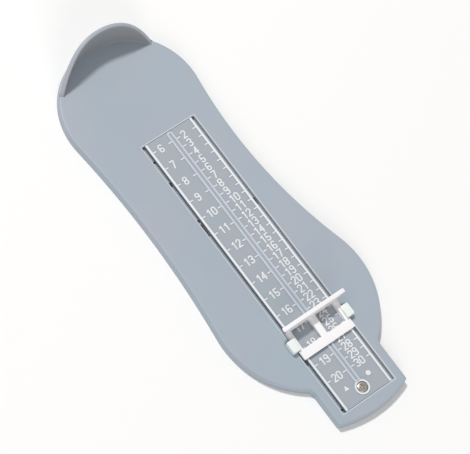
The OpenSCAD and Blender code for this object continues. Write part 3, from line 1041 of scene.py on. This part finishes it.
@dataclass(frozen=True)
class PlateScrew:
    """Cross-recess screw that holds the plate's toe end."""

    datum: Datum
    head_radius: float = 2.8
    head_chamfer: float = 0.1
    head_side: float = 0.45
    crown_radius: float = 2.15
    crown_drop: float = 0.05
    crown_edge: float = 0.03
    shank_radius: float = 1.25
    shank_lap: float = 0.4
    thread_lap: float = 0.3
    tip: float = 1.7
    pitch: float = 0.4
    slot_half: float = 0.36
    slot_reach: float = 1.6
    slot_depth: float = 0.6
    slot_taper: float = 0.8

    def build(self, finish: bpy.types.Material) -> None:
        """Builds and dresses the screw.

        Args:
            finish: Finish of the screw's metal.
        """
        bench = Bench()
        self.head(bench)
        self.shank(bench)
        made = bench.done("plate_screw_metal", self.datum)
        dress(made, Body.SOLE, finish, "plate_screw")

    def head(self, bench: Bench) -> None:
        """Builds the rounded head and sinks the cross into its crown.

        Args:
            bench: Mesh to build in.
        """
        low, top, r = self.datum.head_seat, self.datum.rim_top, self.head_radius
        chamfer, shank = self.head_chamfer, self.shank_radius
        side, run = low + self.head_side, r - self.crown_radius
        rise = top - self.crown_drop - side
        profile = [(0.0, low - self.shank_lap), (shank, low - self.shank_lap), (shank, low)]
        profile += [(r - chamfer, low), (r, low + chamfer), (r, side)]
        for degrees in (18, 36, 54, 72):
            a = math.radians(degrees)
            profile.append((r - run * (1 - math.cos(a)), side + rise * math.sin(a)))
        profile.append((self.crown_radius, top - self.crown_edge))
        turned = bench.lathe(self.datum.screw_axis(), profile, 48, closed=False)
        rim = unique(e for v in turned for e in v.link_edges if e.is_boundary)
        self.recess(bench, bench.cover(rim).verts[0])

    def recess(self, bench: Bench, seed: Vert) -> None:
        """Sinks the cross into the head's crown.

        Args:
            bench: Mesh to build in.
            seed: Any vertex of the head.
        """
        middle, half, reach = self.datum.screw_s, self.slot_half, self.slot_reach
        arms = (
            ((-reach, reach), (middle - half, middle + half)),
            ((-half, half), (middle - reach, middle + reach)),
        )
        xs, ss = (sorted(value for arm in arms for value in arm[i]) for i in (0, 1))
        bench.score(seed, xs, ss)
        level = unique(f for x, s in arms for f in bench.faces_in(seed, x, s))
        depth = self.slot_depth
        crown = [f for f in level if f.calc_center_median().z > self.datum.rim_top - depth / 2]
        floor = bench.raise_faces(crown, -depth)
        shift = Matrix.Translation(self.datum.screw_axis().to_3d())
        narrow = Matrix.Diagonal((self.slot_taper, self.slot_taper, 1.0, 1.0))
        bmesh.ops.transform(
            bench.bm,
            matrix=shift @ narrow @ shift.inverted(),
            verts=unique(v for f in floor for v in f.verts),
        )

    def shank(self, bench: Bench) -> None:
        """Builds the threaded shank as a row of ridges that ends in a point.

        Args:
            bench: Mesh to build in.
        """
        z, depth, r = self.datum.head_seat - self.thread_lap, self.pitch / 2, self.shank_radius
        profile = [(0.0, z)]
        while z - self.pitch > self.tip + r / 2:
            profile += [(r, z), (r - depth, z - depth)]
            z -= self.pitch
        profile += [(r, z), (0.0, self.tip)]
        bench.lathe(self.datum.screw_axis(), profile, 32, closed=False)


# ------------------------------------------------------------------ the slider


@dataclass(frozen=True)
class SliderFrame:
    """White frame with the toe stop, two windows, the middle bar and the low bar."""

    datum: Datum
    half: float = 15.9
    length: float = 17.6
    front_lap: float = 0.3
    stop_wall: float = 2.2
    stop_rise: float = 10.0
    stop_half: float = 19.2
    stop_round: float = 0.45
    stop_foot: float = 0.1
    wing_curve: float = 5.0
    wing_tip: float = 0.6
    wing_inset: float = 0.1
    bar_length: float = 4.8
    bar_rise: float = 2.0
    rail_rise: float = 3.2
    rail_width: float = 2.4
    rim_round: float = 0.32
    end_round: float = 0.6
    middle_half: float = 1.8
    tuck: float = 0.15
    window_corner: float = 2.15
    inner_corner: float = 0.5
    notch_half: float = 14.65
    notch: Range = (5.8, 12.6)

    def rails(self, bench: Bench) -> None:
        """Builds the open frame that lies over the plate.

        Args:
            bench: Mesh to build in.
        """
        top, at = self.datum.plate_face + self.rail_rise, self.datum.reading
        half, outer, inner, side = self.half, self.half - self.rail_width, self.middle_half, self.notch_half
        toe_end, behind = at + self.length, at + self.stop_wall
        start, end = behind - self.tuck, toe_end - self.bar_length
        heights = (self.datum.frame_under, top)
        seed = bench.slab((-half, half), (at + self.front_lap, toe_end), heights)[0]
        notch = (at + self.notch[0], at + self.notch[1])
        bench.score(seed, [-side, -outer, -inner, inner, outer, side], [start, behind, *notch, end])
        corners = []
        for x in ((-outer, -inner), (inner, outer)):
            corners += bench.pierce(seed, x, (start, end))
        for x in ((-half, -side), (side, half)):
            bench.pierce(seed, x, notch)
        near_stop = [
            e
            for e in corners
            if abs(e.verts[0].co.y + start) < SAME and abs(e.verts[0].co.x) > (inner + outer) / 2
        ]
        others = [e for e in corners if e not in near_stop]
        ends = [
            e
            for e in bench.bm.edges
            if bench.is_upright(e)
            and abs(abs(e.verts[0].co.x) - half) < SAME
            and abs(e.verts[0].co.y + toe_end) < SAME
        ]
        bench.soften(near_stop, self.window_corner, 8)
        bench.soften(others, self.inner_corner, 3)
        bench.soften(ends, self.end_round, 3)
        self.slope(bench, top, behind, end)
        lowest = self.datum.plate_face + self.bar_rise - 10 * SAME
        rims = [
            e
            for e in bench.crisp_edges(degrees=50.0)
            if all(v.co.z > lowest for v in e.verts) and not bench.is_upright(e)
        ]
        bench.soften(rims, self.rim_round, 3)

    def slope(self, bench: Bench, top: float, start: float, end: float) -> None:
        """Lowers the rails from the stop down to the low bar.

        Args:
            bench: Mesh that holds the rails.
            top: Height of the rails at the stop.
            start: Distance from the heel wall where the slope begins.
            end: Distance from the heel wall where it has reached the low bar.
        """
        for vert in bench.bm.verts:
            if vert.co.z > top - SAME:
                share = (-vert.co.y - start) / (end - start)
                vert.co.z += (self.bar_rise - self.rail_rise) * min(max(share, 0.0), 1.0)

    def stop(self, bench: Bench) -> None:
        """Builds the toe stop with a wing on either side.

        Args:
            bench: Mesh to build in.
        """
        before = set(bench.bm.verts)
        under, top = self.datum.frame_under, self.datum.plate_face + self.stop_rise
        half, tip, reach, curve = self.half, self.wing_tip, self.stop_half, self.wing_curve
        wing, low_reach = top - curve - tip, reach - self.wing_inset
        end = math.acos((low_reach - half - curve) / curve)

        def path() -> None:
            """Draws the front view, heights laid along y."""
            v = bench.bm.verts.new((half, under, 0.0))
            v = bench.step(v, half, wing)
            v = bench.sweep(v, Vector((half + curve, wing)), end - math.pi, 12)
            v = bench.step(v, reach, top - tip)
            v = bench.sweep(v, Vector((reach - tip, top - tip)), math.pi / 2, 4)
            v = bench.step(v, tip - reach, top)
            v = bench.sweep(v, Vector((tip - reach, top - tip)), math.pi / 2, 4)
            v = bench.step(v, -low_reach, wing + curve * math.sin(end))
            v = bench.sweep(v, Vector((-half - curve, wing)), end - math.pi, 12)
            bench.step(v, -half, under)

        outline = bench.chain(path)
        feet = [v for v in unique(v for e in outline for v in e.verts) if abs(v.co.y - under) < SAME]
        outline.append(bench.bm.edges.new(feet))
        front = bench.pull(outline, self.stop_wall)
        bench.cover(outline)
        bench.cover(front)
        made = [v for v in bench.bm.verts if v not in before]
        shift = Matrix.Translation((0.0, -self.datum.reading, 0.0))
        place = shift @ Matrix.Rotation(math.pi / 2, 4, "X")
        bmesh.ops.transform(bench.bm, matrix=place, verts=made)
        bmesh.ops.recalc_face_normals(bench.bm, faces=unique(f for v in made for f in v.link_faces))
        foot = under + self.stop_foot
        edges = [e for e in bench.crisp_edges(made) if max(v.co.z for v in e.verts) > foot]
        bench.soften(edges, self.stop_round, 3)

    def build(self, finish: bpy.types.Material) -> None:
        """Builds and dresses the frame.

        Args:
            finish: Finish of the white plastic.
        """
        bench = Bench()
        self.rails(bench)
        self.stop(bench)
        made = bench.done("slider_frame_moulding", self.datum)
        dress(made, Body.SLIDER, finish, "slider_frame")


@dataclass(frozen=True)
class SliderCarriage:
    """The two finger grips, with the arms and the bridge that run inside the channel."""

    datum: Datum
    arm: Range = (14.75, 15.95)
    arm_start: float = 2.5
    arm_round: float = 0.2
    grip_half: float = 19.25
    grip: Range = (5.9, 12.5)
    grip_rise: float = 3.8
    grip_corner: float = 0.9
    crown_round: float = 0.5
    bridge_length: float = 4.0

    def side_pieces(self, bench: Bench, side: Side) -> None:
        """Builds one grip with the two halves of its arm.

        Args:
            bench: Mesh to build in.
            side: Left or right.
        """
        at, sole_top = self.datum.reading, self.datum.sole_top
        low, top = self.datum.grip_under, self.datum.plate_face + self.grip_rise
        grip_s = (at + self.grip[0], at + self.grip[1])
        arm_s = (at + self.arm_start, grip_s[1])
        made = bench.slab(side.across(self.arm[0], self.grip_half), grip_s, (low, top))
        outer = [
            e
            for e in bench.crisp_edges(made)
            if bench.is_upright(e) and abs(abs(e.verts[0].co.x) - self.grip_half) < SAME
        ]
        seed = min(made, key=lambda v: abs(v.co.x))
        bench.soften(outer, self.grip_corner, 4)
        crown = [e for e in bench.crisp_edges([seed]) if all(v.co.z > top - SAME for v in e.verts)]
        bench.soften(crown, self.crown_round, 4)
        lower, upper = (self.datum.bridge[0], sole_top), (sole_top - BITE, low + BITE)
        for z, s in ((lower, arm_s), (upper, grip_s)):
            arm = bench.slab(side.across(*self.arm), s, z)
            bench.soften([e for e in bench.crisp_edges(arm) if bench.is_upright(e)], self.arm_round)

    def build(self, finish: bpy.types.Material) -> None:
        """Builds and dresses the carriage.

        Args:
            finish: Finish of the white plastic.
        """
        bench = Bench()
        for side in Side:
            self.side_pieces(bench, side)
        half, start = self.arm[1] - BITE / 2, self.datum.reading + self.arm_start
        deck = bench.slab((-half, half), (start, start + self.bridge_length), self.datum.bridge)
        bench.soften(bench.crisp_edges(deck), self.arm_round)
        made = bench.done("slider_carriage_moulding", self.datum)
        dress(made, Body.SLIDER, finish, "slider_carriage")


@dataclass(frozen=True)
class ScaleMarkings:
    """The raised numbers, lines and plain marks, which keep their own solids."""

    nodes: tuple[str, ...] = (
        "centimetre_numbers",
        "size_numbers",
        "centimetre_lines",
        "size_lines",
        "column_marks",
    )

    def build(self, finish: bpy.types.Material) -> None:
        """Dresses the markings.

        Args:
            finish: Finish of the stamped white.
        """
        for name in self.nodes:
            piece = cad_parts[name]
            piece.data.materials.clear()
            piece.data.materials.append(finish)
            LOG.info("%s: %d faces, kept from the solids", name, len(piece.data.polygons))


# ------------------------------------------------------------------ finishes


class NodeSheet:
    """Adds nodes to a material or a group and wires them up."""

    def __init__(self, tree: bpy.types.NodeTree) -> None:
        """Keeps the tree to work on."""
        self.tree = tree

    def add(
        self, kind: str, given: Optional[dict[str | int, object]] = None, **settings: object
    ) -> bpy.types.Node:
        """Adds a node.

        Args:
            kind: Type of the node, without the word that all shader nodes start with.
            given: A plain value or another node's output for each input, by name or number.
            settings: The node's own options.

        Returns:
            The node.
        """
        node = self.tree.nodes.new(f"ShaderNode{kind}")
        for option, value in settings.items():
            setattr(node, option, value)
        self.feed(node, given or {})
        return node

    def feed(self, node: bpy.types.Node, given: dict[str | int, object]) -> None:
        """Sets or connects a node's inputs.

        Args:
            node: The node.
            given: A plain value or another node's output for each input, by name or number.
        """
        for label, value in given.items():
            if isinstance(value, bpy.types.NodeSocket):
                self.tree.links.new(value, node.inputs[label])
            else:
                node.inputs[label].default_value = value

    def sum(self, operation: str, *terms: object) -> bpy.types.NodeSocket:
        """The result of one sum over plain values or other nodes' outputs."""
        return self.add("Math", dict(enumerate(terms)), operation=operation).outputs["Value"]

    def place(self) -> bpy.types.NodeSocket:
        """The point on the gauge, in metres."""
        return self.add("TexCoord").outputs["Object"]

    def stretch(self, value: bpy.types.NodeSocket, **ends: object) -> bpy.types.NodeSocket:
        """Maps one range of a value onto another.

        Args:
            value: The value.
            ends: Ends of the ranges by their names, with _ for the space. Without them the
                range goes from 0 to 1.

        Returns:
            The result, which stays within the range.
        """
        given = {label.replace("_", " "): end for label, end in ends.items()}
        return self.add("MapRange", {"Value": value, **given}).outputs["Result"]

    def mix(self, share: bpy.types.NodeSocket, first: object, second: object) -> bpy.types.NodeSocket:
        """The colour between two colours that a share gives."""
        given = {"Factor": share, "A": first, "B": second}
        return self.add("Mix", given, data_type="RGBA").outputs["Result"]


class Effect(Enum):
    """Surface effects that several finishes share."""

    DRIFT = "tone_drift"
    GRAIN = "moulded_grain"
    # Stamped foil, and the painted highlight on the stem's top.
    RAISED = "raised_top"
    # Painted highlight round the channel's mouth.
    EDGE_HIGHLIGHT = "painted_edge_highlight"
    # Painted shade on the heel wall's inner face.
    INNER_SHADE = "painted_inner_shade"


class EffectShelf:
    """Builds each shared effect once, as a node group, and hands it out."""

    # Noise keeps to the middle of its range, which is stretched to the whole of it.
    NOISE_LOW, NOISE_HIGH = 0.3, 0.7

    def __init__(self) -> None:
        """Starts with no effect built."""
        self.built: dict[Effect, bpy.types.NodeTree] = {}

    def group(self, effect: Effect) -> bpy.types.NodeTree:
        """Hands out the node group of an effect, and builds it on first use.

        Args:
            effect: The effect.

        Returns:
            Its node group.
        """
        if effect not in self.built:
            makers = {
                Effect.DRIFT: self._drift,
                Effect.GRAIN: self._grain,
                Effect.RAISED: self._raised,
                Effect.EDGE_HIGHLIGHT: self._edge_highlight,
                Effect.INNER_SHADE: self._inner_shade,
            }
            self.built[effect] = makers[effect](effect.value)
        return self.built[effect]

    @staticmethod
    def _start(
        name: str, inputs: dict[str, float], outputs: Sequence[str] = ("Mask",)
    ) -> tuple[NodeSheet, bpy.types.bpy_prop_collection, bpy.types.Node]:
        """Opens a node group.

        Args:
            name: Name of the group.
            inputs: Names of its inputs, with what each is at first.
            outputs: Names of its outputs.

        Returns:
            The sheet to draw on, the values that come in, and the node that they leave by.
        """
        tree = bpy.data.node_groups.new(name, "ShaderNodeTree")
        for label, value in inputs.items():
            socket = tree.interface.new_socket(name=label, in_out="INPUT", socket_type="NodeSocketFloat")
            socket.default_value = value
        for label in outputs:
            tree.interface.new_socket(name=label, in_out="OUTPUT", socket_type="NodeSocketFloat")
        come, leave = tree.nodes.new("NodeGroupInput"), tree.nodes.new("NodeGroupOutput")
        return NodeSheet(tree), come.outputs, leave

    @staticmethod
    def _noise(
        sheet: NodeSheet, detail: float, size: object = None, scale: float = 1.0
    ) -> bpy.types.NodeSocket:
        """Draws an even noise.

        Args:
            sheet: Where it is drawn.
            detail: Number of finer layers in it.
            size: Size of its patches in millimetres, if it comes from another node.
            scale: Otherwise how many patches lie on a metre.

        Returns:
            The noise.
        """
        count = scale if size is None else sheet.sum("DIVIDE", 1 / MM, size)
        given = {"Vector": sheet.place(), "Scale": count, "Detail": detail}
        return sheet.add("TexNoise", given).outputs["Fac"]

    def _drift(self, name: str) -> bpy.types.NodeTree:
        """Slow change of tone over the moulding, from how the plastic flowed.

        Args:
            name: Name of the group.

        Returns:
            The node group.
        """
        sheet, come, leave = self._start(name, {"Patch size": 30.0})
        noise = self._noise(sheet, 2.0, come["Patch size"])
        mask = sheet.stretch(noise, From_Min=self.NOISE_LOW, From_Max=self.NOISE_HIGH)
        sheet.feed(leave, {"Mask": mask})
        return sheet.tree

    def _grain(self, name: str) -> bpy.types.NodeTree:
        """Fine spark-eroded grain of a moulding, as a height, and the roughness that goes with it.

        Args:
            name: Name of the group.

        Returns:
            The node group.
        """
        inputs = {"Grain size": 0.35, "Smooth": 0.35, "Rough": 0.5}
        sheet, come, leave = self._start(name, inputs, ("Height", "Roughness"))
        fine = self._noise(sheet, 3.0, come["Grain size"])
        broad = self._noise(sheet, 4.0, scale=60.0)
        gloss = sheet.stretch(
            broad,
            From_Min=self.NOISE_LOW,
            From_Max=self.NOISE_HIGH,
            To_Min=come["Smooth"],
            To_Max=come["Rough"],
        )
        sheet.feed(leave, {"Height": fine, "Roughness": gloss})
        return sheet.tree

    def _raised(self, name: str) -> bpy.types.NodeTree:
        """Mask of what stands above a height, as a hot-stamped foil takes, and where the stem's painted
        highlight goes.

        Args:
            name: Name of the group.

        Returns:
            The node group.
        """
        sheet, come, leave = self._start(name, {"From": 0.005, "To": 0.0051})
        height = sheet.add("SeparateXYZ", {"Vector": sheet.place()}).outputs["Z"]
        sheet.feed(leave, {"Mask": sheet.stretch(height, From_Min=come["From"], From_Max=come["To"])})
        return sheet.tree

    def _edge_highlight(self, name: str) -> bpy.types.NodeTree:
        """Mask of a narrow band round the outside of a rectangle, where a painted highlight goes.

        Args:
            name: Name of the group.

        Returns:
            The node group.
        """
        inputs = {"Middle X": 0.0, "Middle Y": 0.0, "Half X": 0.01, "Half Y": 0.01, "Width": 0.0005}
        sheet, come, leave = self._start(name, inputs)
        parts = sheet.add("SeparateXYZ", {"Vector": sheet.place()}).outputs
        past = []
        for axis in "XY":
            away = sheet.sum("ABSOLUTE", sheet.sum("SUBTRACT", parts[axis], come[f"Middle {axis}"]))
            past.append(sheet.sum("SUBTRACT", away, come[f"Half {axis}"]))
        share = sheet.sum("DIVIDE", sheet.sum("MAXIMUM", *past), come["Width"])
        outside = sheet.stretch(share, From_Min=-0.2, From_Max=0.0)
        near = sheet.stretch(share, From_Min=1.0, From_Max=0.7)
        sheet.feed(leave, {"Mask": sheet.sum("MULTIPLY", outside, near)})
        return sheet.tree

    def _inner_shade(self, name: str) -> bpy.types.NodeTree:
        """Mask of what lies inside a circle in plan, such as a curved wall's inner face, where painted shade
        goes.

        Args:
            name: Name of the group.

        Returns:
            The node group.
        """
        inputs = {"Middle X": 0.0, "Middle Y": 0.0, "From": 0.011, "To": 0.01}
        sheet, come, leave = self._start(name, inputs)
        parts = sheet.add("SeparateXYZ", {"Vector": sheet.place()}).outputs
        squares = []
        for axis in "XY":
            away = sheet.sum("SUBTRACT", parts[axis], come[f"Middle {axis}"])
            squares.append(sheet.sum("MULTIPLY", away, away))
        reach = sheet.sum("SQRT", sheet.sum("ADD", *squares))
        sheet.feed(leave, {"Mask": sheet.stretch(reach, From_Min=come["From"], From_Max=come["To"])})
        return sheet.tree


@dataclass(frozen=True)
class Accent:
    """Second colour of a moulding, and the shared effect that says where it lies."""

    effect: Effect
    colour: Colour
    values: dict[str, float]


@dataclass(frozen=True)
class Finish:
    """What every finish has: two tones that drift into each other, and a fine grain."""

    name: str
    first: Colour
    second: Colour
    smooth: float = 0.36
    rough: float = 0.48
    grain_size: float = 0.4
    patch_size: float = 35.0

    def start(self, shelf: EffectShelf) -> tuple[bpy.types.Material, NodeSheet, dict[str, object]]:
        """Opens the material with its drifting tones and its roughness.

        Args:
            shelf: Where the shared effects come from.

        Returns:
            The material, the sheet to draw on, and its colour, roughness and grain height.
        """
        material = bpy.data.materials.new(self.name)
        material.use_nodes = True
        sheet = NodeSheet(material.node_tree)
        drift = sheet.add("Group", {"Patch size": self.patch_size}, node_tree=shelf.group(Effect.DRIFT))
        grain = sheet.add(
            "Group",
            {"Grain size": self.grain_size, "Smooth": self.smooth, "Rough": self.rough},
            node_tree=shelf.group(Effect.GRAIN),
        )
        tone = sheet.mix(drift.outputs["Mask"], (*self.first, 1.0), (*self.second, 1.0))
        made = {"colour": tone, "roughness": grain.outputs["Roughness"], "grain": grain.outputs["Height"]}
        return material, sheet, made

    @staticmethod
    def finish(sheet: NodeSheet, colour: object, roughness: object, height: object, depth: float) -> None:
        """Feeds the material's shader.

        Args:
            sheet: The material's sheet.
            colour: Its colour.
            roughness: Its roughness.
            height: Height of its relief, as a share.
            depth: Depth of its relief in millimetres.
        """
        relief = sheet.add("Bump", {"Strength": 1.0, "Distance": depth * MM, "Height": height})
        given = {"Base Color": colour, "Roughness": roughness, "Normal": relief.outputs["Normal"]}
        sheet.feed(sheet.tree.nodes["Principled BSDF"], given)


@dataclass(frozen=True)
class MouldedPlastic(Finish):
    """Satin moulded plastic, with a second colour where an accent says."""

    grain_depth: float = 0.004
    accent: Optional[Accent] = None

    def make(self, shelf: EffectShelf) -> bpy.types.Material:
        """Builds the material.

        Args:
            shelf: Where the shared effects come from.

        Returns:
            The material.
        """
        material, sheet, made = self.start(shelf)
        colour = made["colour"]
        if self.accent is not None:
            group = shelf.group(self.accent.effect)
            where = sheet.add("Group", self.accent.values, node_tree=group).outputs["Mask"]
            colour = sheet.mix(where, colour, (*self.accent.colour, 1.0))
        self.finish(sheet, colour, made["roughness"], made["grain"], self.grain_depth)
        return material


@dataclass(frozen=True)
class PlatedSteel(Finish):
    """Plated screw steel: turned rings round the screw's axis and a brownish tint."""

    smooth: float = 0.25
    rough: float = 0.42
    grain_size: float = 0.12
    patch_size: float = 1.2
    ring_depth: float = 0.01
    ring_scale: float = 1800.0
    ring_waver: float = 0.6
    datum: Datum = Datum()

    def make(self, shelf: EffectShelf) -> bpy.types.Material:
        """Builds the material.

        Args:
            shelf: Where the shared effects come from.

        Returns:
            The material.
        """
        material, sheet, made = self.start(shelf)
        axis = self.datum.seated(self.datum.screw_axis().to_3d()) * MM
        centred = sheet.add("Mapping", {"Vector": sheet.place(), "Location": -axis})
        rings = sheet.add(
            "TexWave",
            {
                "Vector": centred.outputs["Vector"],
                "Scale": self.ring_scale,
                "Distortion": self.ring_waver,
            },
            wave_type="RINGS",
            rings_direction="Z",
        )
        self.finish(sheet, made["colour"], made["roughness"], rings.outputs["Fac"], self.ring_depth)
        sheet.feed(material.node_tree.nodes["Principled BSDF"], {"Metallic": 1.0})
        return material


@dataclass(frozen=True)
class Palette:
    """The gauge's finishes, each made from the shared effects."""

    datum: Datum
    moulding: SoleMoulding
    shelf: EffectShelf
    # Depths below the rims' top over which the stamped foil and the stem's painted highlight fade in, in
    # millimetres.
    foil_and_highlight_drop: Range = (0.14, 0.09)
    # Width of the painted highlight round the channel's mouth, in millimetres.
    highlight_width: float = 0.55
    # Radii past the heel wall's inner face over which its painted shade fades in, in millimetres.
    cup_shade_fade: Range = (0.4, 0.1)

    def stamped(self, colour: Colour) -> Accent:
        """A lighter colour on everything that stands above the plate's face: stamped foil on the rims, a
        painted highlight on the stem.
        """
        low, high = (self.datum.rim_top - drop for drop in self.foil_and_highlight_drop)
        return Accent(Effect.RAISED, colour, {"From": low * MM, "To": high * MM})

    def painted_mouth_highlight(self, colour: Colour) -> Accent:
        """Lays a lighter colour in a narrow band round the channel's mouth: a painted highlight where the
        mouth's rounded edge catches the light.

        Args:
            colour: The colour.

        Returns:
            The accent.
        """
        half, (start, end) = self.moulding.channel_half, self.moulding.channel
        middle = self.datum.seated((0.0, -(start + end) / 2, 0.0)) * MM
        values = {"Half X": half * MM, "Half Y": (end - start) / 2 * MM, "Width": self.highlight_width * MM}
        return Accent(Effect.EDGE_HIGHLIGHT, colour, {"Middle X": middle.x, "Middle Y": middle.y, **values})

    def heel_cup_shade(self, colour: Colour) -> Accent:
        """Lays a darker colour on the heel wall's inner face, as painted shade.

        Args:
            colour: The colour.

        Returns:
            The accent.
        """
        plan = self.moulding.outline
        middle = self.datum.seated(plan.heel_centre().to_3d()) * MM
        inner = plan.heel_radius - plan.heel_wall
        start, full = (inner + depth for depth in self.cup_shade_fade)
        values = {"From": start * MM, "To": full * MM}
        return Accent(Effect.INNER_SHADE, colour, {"Middle X": middle.x, "Middle Y": middle.y, **values})

    def build(self) -> dict[str, bpy.types.Material]:
        """Builds every finish.

        Returns:
            The materials by name.
        """
        # The first colour is a painted highlight round the channel's mouth.
        # The second colour is painted shade on the heel wall's inner face.
        mouth, cup_shade = self.painted_mouth_highlight((0.62, 0.66, 0.70)), self.heel_cup_shade((0.30, 0.315, 0.33))
        # The rims' colour is stamped foil; the stem's is a painted highlight on its top.
        rims, stem = self.stamped((0.76, 0.79, 0.82)), self.stamped((0.53, 0.59, 0.66))
        gloss = {"smooth": 0.28, "rough": 0.4, "grain_depth": 0.002}
        small = {"patch_size": 3.0, "grain_size": 0.15}
        finishes = (
            # Its accent is the painted highlight round the channel's mouth.
            MouldedPlastic("body_plastic", (0.36, 0.43, 0.49), (0.39, 0.425, 0.49), accent=mouth),
            # Its accent is painted shade on the heel wall's inner face.
            MouldedPlastic("heel_wall_painted_shade_plastic", (0.38, 0.43, 0.48), (0.41, 0.425, 0.48), accent=cup_shade),
            MouldedPlastic("plate_plastic", (0.355, 0.405, 0.45), (0.38, 0.405, 0.455), accent=rims),
            # Its accent is a painted highlight on the stem's top, which leaves the groove darker.
            MouldedPlastic("stem_painted_highlight_plastic", (0.36, 0.405, 0.46), (0.39, 0.41, 0.47), accent=stem),
            MouldedPlastic("frame_white", (0.91, 0.90, 0.93), (0.92, 0.91, 0.91), **gloss),
            # A darker, greener copy of the frame's white, as painted shade on the grips.
            MouldedPlastic("carriage_white", (0.80, 0.87, 0.86), (0.84, 0.88, 0.86), **gloss),
            MouldedPlastic("marking_white", (0.78, 0.80, 0.82), (0.73, 0.76, 0.78), **small),
            PlatedSteel("screw_steel", (0.72, 0.66, 0.60), (0.50, 0.46, 0.43)),
        )
        return {finish.name: finish.make(self.shelf) for finish in finishes}


# ------------------------------------------------------------------ studio


@dataclass(frozen=True)
class Lamp:
    """One soft square lamp that looks at the gauge's middle. Its sizes are in metres and watts."""

    name: str
    place: tuple[float, float, float]
    size: float
    power: float
    colour: Colour

    def hang(self) -> None:
        """Hangs the lamp."""
        data = bpy.data.lights.new(self.name, "AREA")
        data.shape = "SQUARE"
        data.size = self.size
        data.energy = self.power
        data.color = self.colour
        lamp = bpy.data.objects.new(self.name, data)
        lamp.location = self.place
        lamp.rotation_euler = (-Vector(self.place)).to_track_quat("-Z", "Y").to_euler()
        bpy.context.scene.collection.objects.link(lamp)


@dataclass(frozen=True)
class Studio:
    """Pale floor, soft light and the camera at the photograph's angle."""

    datum: Datum
    azimuth: float = -67.303
    elevation: float = 63.99
    roll: float = 32.081
    distance: float = 1411.755
    focal_pixels: float = 2923.422
    target_s: float = 110.0
    target_pixel: tuple[float, float] = (235.789, 221.032)
    image: tuple[int, int] = (470, 454)
    sensor: float = 36.0
    clip: Range = (0.05, 20.0)
    floor_half: float = 3.0
    floor_tone: Colour = (0.93, 0.93, 0.93)
    sky: float = 0.43
    lamps: tuple[Lamp, ...] = (
        Lamp("key", (-0.1, 1.5, 2.7), 0.3, 58.5, (1.0, 0.985, 0.97)),
        Lamp("fill", (-1.1, -1.9, 0.9), 1.2, 15.0, (1.0, 0.985, 0.98)),
    )

    def axes(self) -> tuple[Vector, Vector, Vector]:
        """Works out which way the camera is turned.

        Returns:
            Its right, up and back directions.
        """
        az, el, roll = (math.radians(a) for a in (self.azimuth, self.elevation, self.roll))
        back = Vector((math.sin(az) * math.cos(el), -math.cos(az) * math.cos(el), math.sin(el)))
        level = (-back).cross(Vector((0.0, 0.0, 1.0))).normalized()
        upright = level.cross(-back)
        right = math.cos(roll) * level + math.sin(roll) * upright
        up = -math.sin(roll) * level + math.cos(roll) * upright
        return right, up, back

    def camera(self) -> None:
        """Sets the camera where the photograph was taken from."""
        right, up, back = self.axes()
        width, height = self.image
        data = bpy.data.cameras.new("photo_camera")
        data.sensor_width = self.sensor
        data.lens = self.focal_pixels / width * self.sensor
        data.shift_x = (width / 2 - self.target_pixel[0]) / width
        data.shift_y = (self.target_pixel[1] - height / 2) / width
        data.clip_start, data.clip_end = self.clip
        camera = bpy.data.objects.new("photo_camera", data)
        turned = Matrix((right, up, back)).transposed().to_4x4()
        target = self.datum.seated((0.0, -self.target_s, self.datum.plate_face))
        place = (target + back * self.distance) * MM
        camera.matrix_world = Matrix.Translation(place) @ turned
        bpy.context.scene.collection.objects.link(camera)
        bpy.context.scene.camera = camera

    def floor(self) -> None:
        """Lays the pale floor."""
        bm = bmesh.new()
        bmesh.ops.create_grid(bm, x_segments=2, y_segments=2, size=self.floor_half)
        mesh = bpy.data.meshes.new("floor")
        bm.to_mesh(mesh)
        bm.free()
        floor = bpy.data.objects.new("floor", mesh)
        bpy.context.scene.collection.objects.link(floor)
        material = bpy.data.materials.new("pale_floor")
        material.use_nodes = True
        given = {"Base Color": (*self.floor_tone, 1.0), "Roughness": 0.9, "Specular IOR Level": 0.1}
        NodeSheet(material.node_tree).feed(material.node_tree.nodes["Principled BSDF"], given)
        mesh.materials.append(material)

    def light(self) -> None:
        """Sets the pale surroundings and the lamps."""
        world = bpy.data.worlds.new("studio")
        world.use_nodes = True
        given = {"Color": (1.0, 1.0, 1.0, 1.0), "Strength": self.sky}
        NodeSheet(world.node_tree).feed(world.node_tree.nodes["Background"], given)
        bpy.context.scene.world = world
        for lamp in self.lamps:
            lamp.hang()
        bpy.context.scene.view_settings.view_transform = "Standard"

    def build(self) -> None:
        """Sets up floor, light and camera."""
        self.floor()
        self.light()
        self.camera()


def main() -> None:
    """Builds the gauge and its studio, and reports each piece."""
    logging.basicConfig(level=logging.INFO, format="%(name)s: %(message)s")
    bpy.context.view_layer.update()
    datum = Datum()
    moulding = SoleMoulding(datum)
    finish = Palette(datum, moulding, EffectShelf()).build()
    moulding.build(finish["body_plastic"], finish["heel_wall_painted_shade_plastic"])
    ScalePlate(datum).build(finish["plate_plastic"], finish["stem_painted_highlight_plastic"])
    PlateScrew(datum).build(finish["screw_steel"])
    SliderFrame(datum).build(finish["frame_white"])
    SliderCarriage(datum).build(finish["carriage_white"])
    ScaleMarkings().build(finish["marking_white"])
    Studio(datum).build()


if __name__ == "__main__":
    main()
